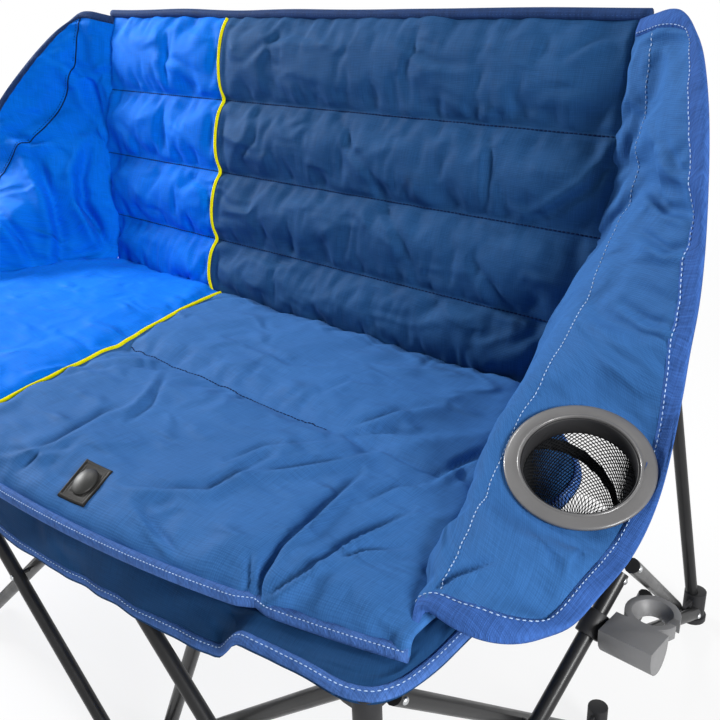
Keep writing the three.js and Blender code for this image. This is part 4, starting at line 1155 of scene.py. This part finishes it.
def hem_seat():
    """Tape along the seat's front edge, with its stitches."""
    y, z = seat_line(0.985)
    half = seat_half(y) - 0.001
    line = np.array([(x, y + seat_drawn(x) + DEPTH_SHIFT - 0.0015, z + 0.0015 * wobble(x, 0.0, 52, 7.0))
                     for x in half * np.linspace(-1.0, 1.0, 150)])
    outs = unit(np.tile((0.0, -1.0, 0.25), (len(line), 1)))
    on_seat(sweep("hem_seat", line, SEAT_HEM_RADIUS, MAT_TAPE, sides=10, flat=0.72, up=outs))
    on_seat(stitches("hem_seat_thread", [(line + outs * 0.0046 + (0.0, 0.0, 0.0042), outs)], MAT_THREAD,
                     dash=0.0024, gap=0.0016, width=0.0004))


def hem_flap(line, inward, outs):
    """Tape along the flap's hem, with its stitches. Returns both."""
    path, ups, ins = resample(line, 0.007, outs, inward)
    path = path + ups * 0.0008 + ins * 0.004
    tape = sweep("hem_flap", path, FLAP_HEM_RADIUS, MAT_TAPE, sides=8, flat=0.42, up=ups)
    on_seat(tape)
    thread = stitches("hem_flap_thread", [(path + ups * 0.0022 + ins * 0.0022, ups)], MAT_THREAD)
    on_seat(thread)
    return [tape, thread]


def sew_seams(back_tree, seat_tree):
    seams = []
    for v in BACK_SEAMS[1:-1]:
        half = back_half(v) - 0.004
        line = [back_place(x, v) for x in np.linspace(-half, half, 260)]
        ups = back_outs(len(line))
        seams.append((smoothed(drop_on(line, ups, back_tree, 0.0003), 2), ups))
    on_seat(stitches("seam_thread_back", seams, MAT_DARK_THREAD, width=0.0009, **SEAM_STITCH))
    line = [np.array((x, SEAT_SEAM + DEPTH_SHIFT, SEAT_Z + 0.012))
            for x in np.linspace(seat_pipe_x(SEAT_SEAM) + 0.012, 0.33, 120)]
    seam = lay_on(line, seat_tree, 0.0002)
    on_seat(stitches("seam_thread_seat", [seam], MAT_DARK_THREAD, width=0.0008, **SEAM_STITCH))


def trim_arm(sign, arm, middle, normal):
    """Hem tape round an arm's outer edge, its stitches, and the left arm's felled seam."""
    side = "right" if sign > 0 else "left"
    tree = surface_of(arm)
    rows, cols = middle.shape[:2]

    def round_rim(grid, row, col):
        return np.concatenate((grid[row, 2:-1], grid[:-1, col], grid[-1 - row, ::-1][:cols - 4]))

    edge = round_rim(middle, 0, -1)
    edge, ups, ins = resample(edge, 0.005, round_rim(normal, 0, -1), round_rim(middle, 3, -5) - edge)
    ups, ins = unit(smoothed(ups, 4)), smoothed(unit(ins), 8)
    ins = unit(ins - ups * np.sum(ins * ups, axis=1)[:, None])
    width, finish = (TAPE_WIDTH, MAT_TAPE_ARM) if sign > 0 else (TAPE_WIDTH_LEFT, MAT_BINDING)
    tape, band_line = edge_band(f"hem_arm_{side}", edge, ins, ups, tree, width, finish, middle[-1, -1],
                                *cup_line(sign))
    on_arm(tape, side)
    rows_of_stitches = [(band_line + ups * 0.0006, ups)]
    if sign > 0:
        ridge = middle[:, ARM_IN] + unit(middle[:, ARM_IN + 3] - middle[:, ARM_IN]) * 0.012
        line = resample(ridge[3:-3] + normal[3:-3, ARM_IN] * 0.006, 0.005)
        rows_of_stitches.append(lay_on(line, tree, 0.0004))
    else:
        share = np.interp(np.linspace(0.0, 9.0, rows), np.arange(10), LEFT_SEAM) * ARM_OUT + ARM_IN
        seam = np.array([mix(middle[r, int(s)], middle[r, int(s) + 1], s - int(s))
                         for r, s in enumerate(share)])
        path, seam_up = resample(smoothed(seam, 8)[1:-3], 0.004, smoothed(normal[:, ARM_IN + 9], 8)[1:-3])
        seam_up = unit(seam_up)
        path = drop_on(path, seam_up, tree, 0.0004)
        on_arm(sweep("seam_arm_left", path, 0.0012, MAT_DARK_THREAD, sides=6, flat=0.7, up=seam_up), side)
        beside = unit(np.cross(np.gradient(path, axis=0), seam_up)) * 0.0045
        rows_of_stitches.append((path + beside + seam_up * 0.0003, seam_up))
    thread = MAT_THREAD if sign > 0 else MAT_DARK_THREAD
    on_arm(stitches(f"stitch_arm_{side}", rows_of_stitches, thread), side)


# Cup holders: turned ring, liner, open net and strap

RIM_PROFILE = ((0.0524, -0.007), (0.0524, 0.0058), (0.0530, 0.0072), (0.0540, 0.0076), (0.0548, 0.0072),
               (0.0552, 0.0066), (0.0562, 0.0071), (0.0600, 0.0068), (0.0645, 0.0062), (0.0664, 0.0057),
               (0.0673, 0.0047), (0.0671, 0.0030), (0.0640, 0.0019), (0.0626, 0.0010), (0.0624, -0.007))
LINER_PROFILE = ((0.0522, 0.0046), (0.0514, 0.0050), (0.0506, 0.0044), (0.0500, -0.016), (0.0508, -0.0172),
                 (0.0516, -0.016))


def net_radius(t):
    """Radius of the basket, from its top, t 0, to its floor, t 1."""
    return mix(*NET_RADIUS, t) + 0.0015 * math.sin(math.pi * min(1.0, max(0.0, t)))


def make_net(name, origin, axis):
    """A diamond net: staggered rings of points down the wall and in over the floor, as a wireframe."""
    turn = axis.to_track_quat("Z", "Y").to_matrix()
    around, down, floor_rings = NET_AROUND, NET_DOWN, NET_FLOOR_RINGS
    verts, faces = [], []
    for d in range(down + 1 + floor_rings):
        t = min(1.0, d / down)
        height, radius = mix(NET_TOP, NET_FLOOR, t), net_radius(t)
        if d > down:
            inner_share = (d - down) / floor_rings
            radius = mix(NET_RADIUS[1], 0.006, inner_share)
            height -= 0.0012 * math.sin(math.pi * inner_share)
        for a in range(around):
            angle = 2.0 * math.pi * (a + 0.5 * (d % 2) + 0.12 * wobble(a * 0.7, d * 0.9, 61)) / around
            drop = height + 0.0007 * wobble(a * 0.8, d * 0.7, 62)
            spot = Vector((radius * math.cos(angle), radius * math.sin(angle), drop))
            verts.append(np.array(origin + turn @ spot))
    for d in range(down - 1 + floor_rings):
        for a in range(around):
            p, middle_row, low_row = d * around + a, (d + 1) * around, (d + 2) * around
            if d % 2 == 0:
                faces.append((p, middle_row + a, low_row + a, middle_row + (a - 1) % around))
            else:
                faces.append((p, middle_row + (a + 1) % around, low_row + a, middle_row + a))
    net = mesh_object(name, verts, faces, [MAT_NET])
    wire = net.modifiers.new("net", "WIREFRAME")
    wire.thickness = 0.0015
    wire.use_even_offset = False
    bake(net)
    net.data.materials.clear()
    net.data.materials.append(MAT_NET)
    return net


def make_strap(name, origin, axis, sign):
    """A flat strap that winds down the basket's wall."""
    far = Vector((-0.49 * sign, 0.87, 0.0))
    far = (far - axis * far.dot(axis)).normalized()
    beside = far.cross(axis) * sign
    strap, outward = [], []
    for s in np.linspace(0.0, 1.0, 41):
        angle = math.radians(mix(-58.0, 78.0, s))
        height = mix(-0.010, -0.103, s)
        radius = net_radius((height - NET_TOP) / (NET_FLOOR - NET_TOP)) + 0.0012
        radial = far * math.cos(angle) + beside * math.sin(angle)
        strap.append(np.array(origin + radial * radius + axis * height))
        outward.append(np.array(radial))
    return sweep(name, strap, 0.0075, MAT_NET, sides=8, flat=0.12, up=np.array(outward))


def make_cup(sign):
    side = "right" if sign > 0 else "left"
    body = f"side_hub_{side}"
    origin, axis = (Vector(part) for part in cup_line(sign))
    ring = lathe(f"cup_rim_{side}", RIM_PROFILE, CUP_SEGMENTS, origin, axis, MAT_RING)
    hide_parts(f"cup_ring_{side}")
    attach(ring, body)
    liner = lathe(f"cup_liner_{side}", LINER_PROFILE, CUP_SEGMENTS, origin, axis, MAT_BLACK)
    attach(liner, body)
    net = make_net(f"cup_net_{side}", origin, axis)
    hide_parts(f"cup_basket_{side}")
    fold_with(net, body)
    strap = make_strap(f"cup_strap_{side}", origin, axis, sign)
    fold_with(strap, body)


# Patch and snap on the seat's front edge

PATCH_STEPS = 40
PATCH_LIFT = 0.0016
SNAP_SHARE = 0.68
SNAP_PROFILE = ((0.0, 0.0058), (0.2, 0.0057), (0.4, 0.0052), (0.6, 0.0043), (0.78, 0.0032), (0.90, 0.0022),
                (0.97, 0.0014), (1.0, 0.0006), (1.0, -0.0006))


def patch_xy(s, t):
    """Place of a point of the patch, with s and t from -1 to 1 across it."""
    return np.array((PATCH_PLACE.x, PATCH_PLACE.y)) + s[..., None] * PATCH_X + t[..., None] * PATCH_Y


def terms(s, t):
    return np.stack((np.ones_like(s), s, t, s * s, s * t, t * t), -1)


def patch_level(seat_tree, s, t):
    """A smooth surface laid over the seat under the patch, as a function of s and t."""
    up = np.array((0.0, 0.0, 1.0))
    found = np.array([[drop_on([np.array((x, y, SEAT_Z))], [up], seat_tree, 0.0)[0][2] for x, y in row]
                      for row in patch_xy(s, t)])
    shape = np.linalg.lstsq(terms(s, t).reshape(-1, 6), found.ravel(), rcond=None)[0]
    lift = float(np.percentile(found - terms(s, t) @ shape, 97))
    return lambda a, b: terms(a, b) @ shape + lift


def make_patch(seat_tree):
    span = np.linspace(-1.0, 1.0, PATCH_STEPS + 1)
    s, t = np.meshgrid(span, span)
    level_at = patch_level(seat_tree, s, t)
    level = level_at(s, t)
    row, col = np.indices(level.shape)
    inset = np.minimum.reduce((row, col, PATCH_STEPS - row, PATCH_STEPS - col))
    top = level + PATCH_LIFT - 0.0009 * np.isin(inset, (0, 4, 7)) - 0.0005 * np.isin(inset, (3, 5, 6, 8))
    flat = patch_xy(s, t).reshape(-1, 2)
    verts = [(*xy, z) for layer in (top, level - 0.0012) for xy, z in zip(flat, layer.ravel())]
    patch = mesh_object("patch_leather", verts, shell_faces(PATCH_STEPS + 1, PATCH_STEPS + 1), [MAT_LEATHER])
    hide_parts("patch")
    on_seat(patch)
    return level_at


def make_snap(level_at):
    verts, faces = [], []
    turns = 56
    angle = 2.0 * math.pi * np.arange(turns) / turns
    for share, height in SNAP_PROFILE:
        s, t = SNAP_SHARE * share * np.cos(angle), SNAP_SHARE * share * np.sin(angle)
        verts.extend((*xy, z + PATCH_LIFT + height) for xy, z in zip(patch_xy(s, t), level_at(s, t)))
    for row in range(len(SNAP_PROFILE) - 1):
        for k in range(turns):
            n = (k + 1) % turns
            faces.append((row * turns + k, row * turns + n, (row + 1) * turns + n, (row + 1) * turns + k))
    faces.append(tuple((len(SNAP_PROFILE) - 1) * turns + k for k in range(turns)))
    snap = mesh_object("snap_cap", verts, faces, [MAT_SNAP])
    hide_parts("snap")
    on_seat(snap)


# The frame's own solids: paint, moulding and softened edges

PLASTIC = ("foot", "hub", "stem", "holder")


def finish_node(name, obj):
    mesh = obj.data
    finish = MAT_TUBE
    if name.startswith(PLASTIC):
        finish = MAT_GREY if name == "stem_holder" else MAT_BLACK
    mesh.materials.clear()
    mesh.materials.append(finish)
    if "custom_normal" in mesh.attributes:
        mesh.attributes.remove(mesh.attributes["custom_normal"])
    mesh.polygons.foreach_set("use_smooth", np.full(len(mesh.polygons), True))
    weld = obj.modifiers.new("weld", "WELD")
    weld.merge_threshold = 0.00002
    if finish is not MAT_TUBE:
        soften = obj.modifiers.new("soften", "BEVEL")
        soften.width = 0.0007
        soften.segments = 2
        soften.limit_method = "ANGLE"
        soften.angle_limit = math.radians(40)
    crisp = obj.modifiers.new("crisp", "EDGE_SPLIT")
    crisp.split_angle = math.radians(38)


# A domed rivet head on each side of each pivot, where the solids' outer faces are

DOME = ((0.0001, 0.0020), (0.0016, 0.0018), (0.0029, 0.0011), (0.0035, 0.0002), (0.0036, -0.0008),
        (0.0001, -0.0008))
RIVET_REACH = 0.030


def joined(parts):
    """Several lists of points and faces as one."""
    verts, faces = [], []
    for more_verts, more_faces in parts:
        base = len(verts)
        verts.extend(more_verts)
        faces.extend(tuple(base + i for i in face) for face in more_faces)
    return verts, faces


def body_tree(names):
    """Surface of a body's shown nodes, or None."""
    meshes = [NODES[name].data for name in names if not NODES[name].hide_render]
    verts, faces = joined(([v.co.copy() for v in mesh.vertices], [tuple(p.vertices) for p in mesh.polygons])
                          for mesh in meshes)
    return BVHTree.FromPolygons(verts, faces) if faces else None


def make_rivets(joint, trees):
    pivot, axis = Vector(joint["pos_m"]), Vector(joint["axis"]).normalized()
    heads = []
    for way in (axis, -axis):
        solids = [trees[body] for body in (joint["parent"], joint["child"]) if trees[body] is not None]
        hits = [tree.ray_cast(pivot + way * RIVET_REACH, -way, RIVET_REACH)[0] for tree in solids]
        heights = [(hit - pivot).dot(way) for hit in hits if hit is not None]
        if heights:
            heads.append(turned(DOME, 20, pivot + way * max(heights), way))
    if heads:
        rivet = mesh_object(f"rivet_{joint['name']}", *joined(heads), [MAT_STEEL])
        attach(rivet, joint["child"])


# Camera, floor and light

def set_camera():
    data = bpy.data.cameras.new("camera")
    data.sensor_width = 36.0
    data.sensor_fit = "HORIZONTAL"
    data.lens = FOCAL * data.sensor_width / (2.0 * IMAGE_HALF)
    camera = bpy.data.objects.new("camera", data)
    turn = Matrix((Vector(RIGHT), Vector(ABOVE), -Vector(AHEAD))).transposed().to_4x4()
    turn.translation = Vector(EYE)
    camera.matrix_world = turn
    SCENE.collection.objects.link(camera)
    SCENE.camera = camera


def seen_directly(tree):
    """1 for what the camera sees directly, in gloss or through a surface, and 0 for other light."""
    path = add_node(tree, "LightPath").outputs
    glance = combine(tree, "MAXIMUM", path["Is Camera Ray"], path["Is Glossy Ray"])
    return combine(tree, "MAXIMUM", glance, path["Is Transmission Ray"])


def make_floor():
    """A pale floor that shows white further out."""
    material, tree, shader, place = node_material("floor")
    tone = ramp(tree, noise_of(tree, place, 3.0, 2.0), (0.3, grey(0.90)), (0.7, grey(0.93)))
    feed(tree, shader, {"Base Color": tone, "Roughness": 0.9})
    reach = add_node(tree, "VectorMath", {0: place}, operation="LENGTH")
    fade = add_node(tree, "MapRange", {"Value": reach.outputs["Value"], "From Min": 0.9, "From Max": 2.6,
                                       "To Min": 0.86, "To Max": 1.0})
    share = combine(tree, "MULTIPLY", seen_directly(tree), fade.outputs[0])
    glow = add_node(tree, "Emission", {"Color": (1.0, 1.0, 1.0, 1.0), "Strength": 1.0})
    both = add_node(tree, "MixShader", {0: share, 1: shader.outputs[0], 2: glow.outputs[0]})
    out = next(n for n in tree.nodes if n.type == "OUTPUT_MATERIAL")
    tree.links.new(both.outputs[0], out.inputs[0])
    corners = [(x, y, -0.0005) for x, y in ((-60, -60), (60, -60), (60, 60), (-60, 60))]
    mesh_object("floor", corners, [(0, 1, 2, 3)], [material])


def lamp(name, place, aim, size, power):
    data = bpy.data.lights.new(name, "AREA")
    data.shape = "DISK"
    data.size = size
    data.energy = power
    obj = bpy.data.objects.new(name, data)
    obj.location = place
    obj.rotation_euler = (Vector(aim) - Vector(place)).to_track_quat("-Z", "Y").to_euler()
    SCENE.collection.objects.link(obj)


def set_world():
    """Soft light all round, with a white background."""
    world = bpy.data.worlds.new("studio")
    world.use_nodes = True
    SCENE.world = world
    tree = world.node_tree
    tree.nodes.clear()
    soft = add_node(tree, "Background", {"Color": (0.96, 0.98, 1.0, 1.0), "Strength": 0.17})
    white = add_node(tree, "Background", {"Color": (1.0, 1.0, 1.0, 1.0), "Strength": 1.0})
    both = add_node(tree, "MixShader", {0: seen_directly(tree), 1: soft.outputs[0], 2: white.outputs[0]})
    add_node(tree, "OutputWorld", {0: both.outputs[0]})


# The whole object, piece by piece

back = make_back()
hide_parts("back_pad")
on_seat(back)

seat = make_seat()
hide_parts("seat_pad")
on_seat(seat)

flap, hem_line, hem_in, hem_out, flap_size = make_flap()
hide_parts("front_valance")
on_seat(flap)

arms = {}
for arm_sign, arm_side, arm_slot in ((1, "right", "navy_cloth"), (-1, "left", "blue_cloth")):
    arms[arm_sign] = make_arm(arm_sign)
    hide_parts(f"arm_{arm_side}")
    on_arm(arms[arm_sign][0], arm_side)

back_surface, seat_surface = surface_of(back), surface_of(seat)
pipe_back(back_surface)
pipe_seat(seat_surface)
bind_back()
hem_seat()
flap_trim = hem_flap(hem_line, hem_in, hem_out)
sew_seams(back_surface, seat_surface)
for arm_sign, arm_parts in arms.items():
    trim_arm(arm_sign, *arm_parts)
for arm_sign in arms:
    make_cup(arm_sign)
make_snap(make_patch(seat_surface))

for node_name, node in NODES.items():
    if not node.hide_render:
        finish_node(node_name, node)
body_trees = {body: body_tree(names) for body, names in frame["record"]["behaviour"]["bodies"].items()}
for pivot_joint in frame["joints"]:
    make_rivets(pivot_joint, body_trees)

set_camera()
make_floor()
lamp("key", (-1.0, 0.32, 2.5), (0.15, -0.05, 0.4), 0.6, 22.0)
lamp("left", (-2.6, -0.4, 1.7), (0.4, 0.1, 0.6), 0.7, 120.0)
lamp("right", (2.6, -0.7, 1.25), (-0.3, 0.1, 0.5), 0.9, 68.0)
set_world()

SCENE.view_settings.view_transform = "Standard"
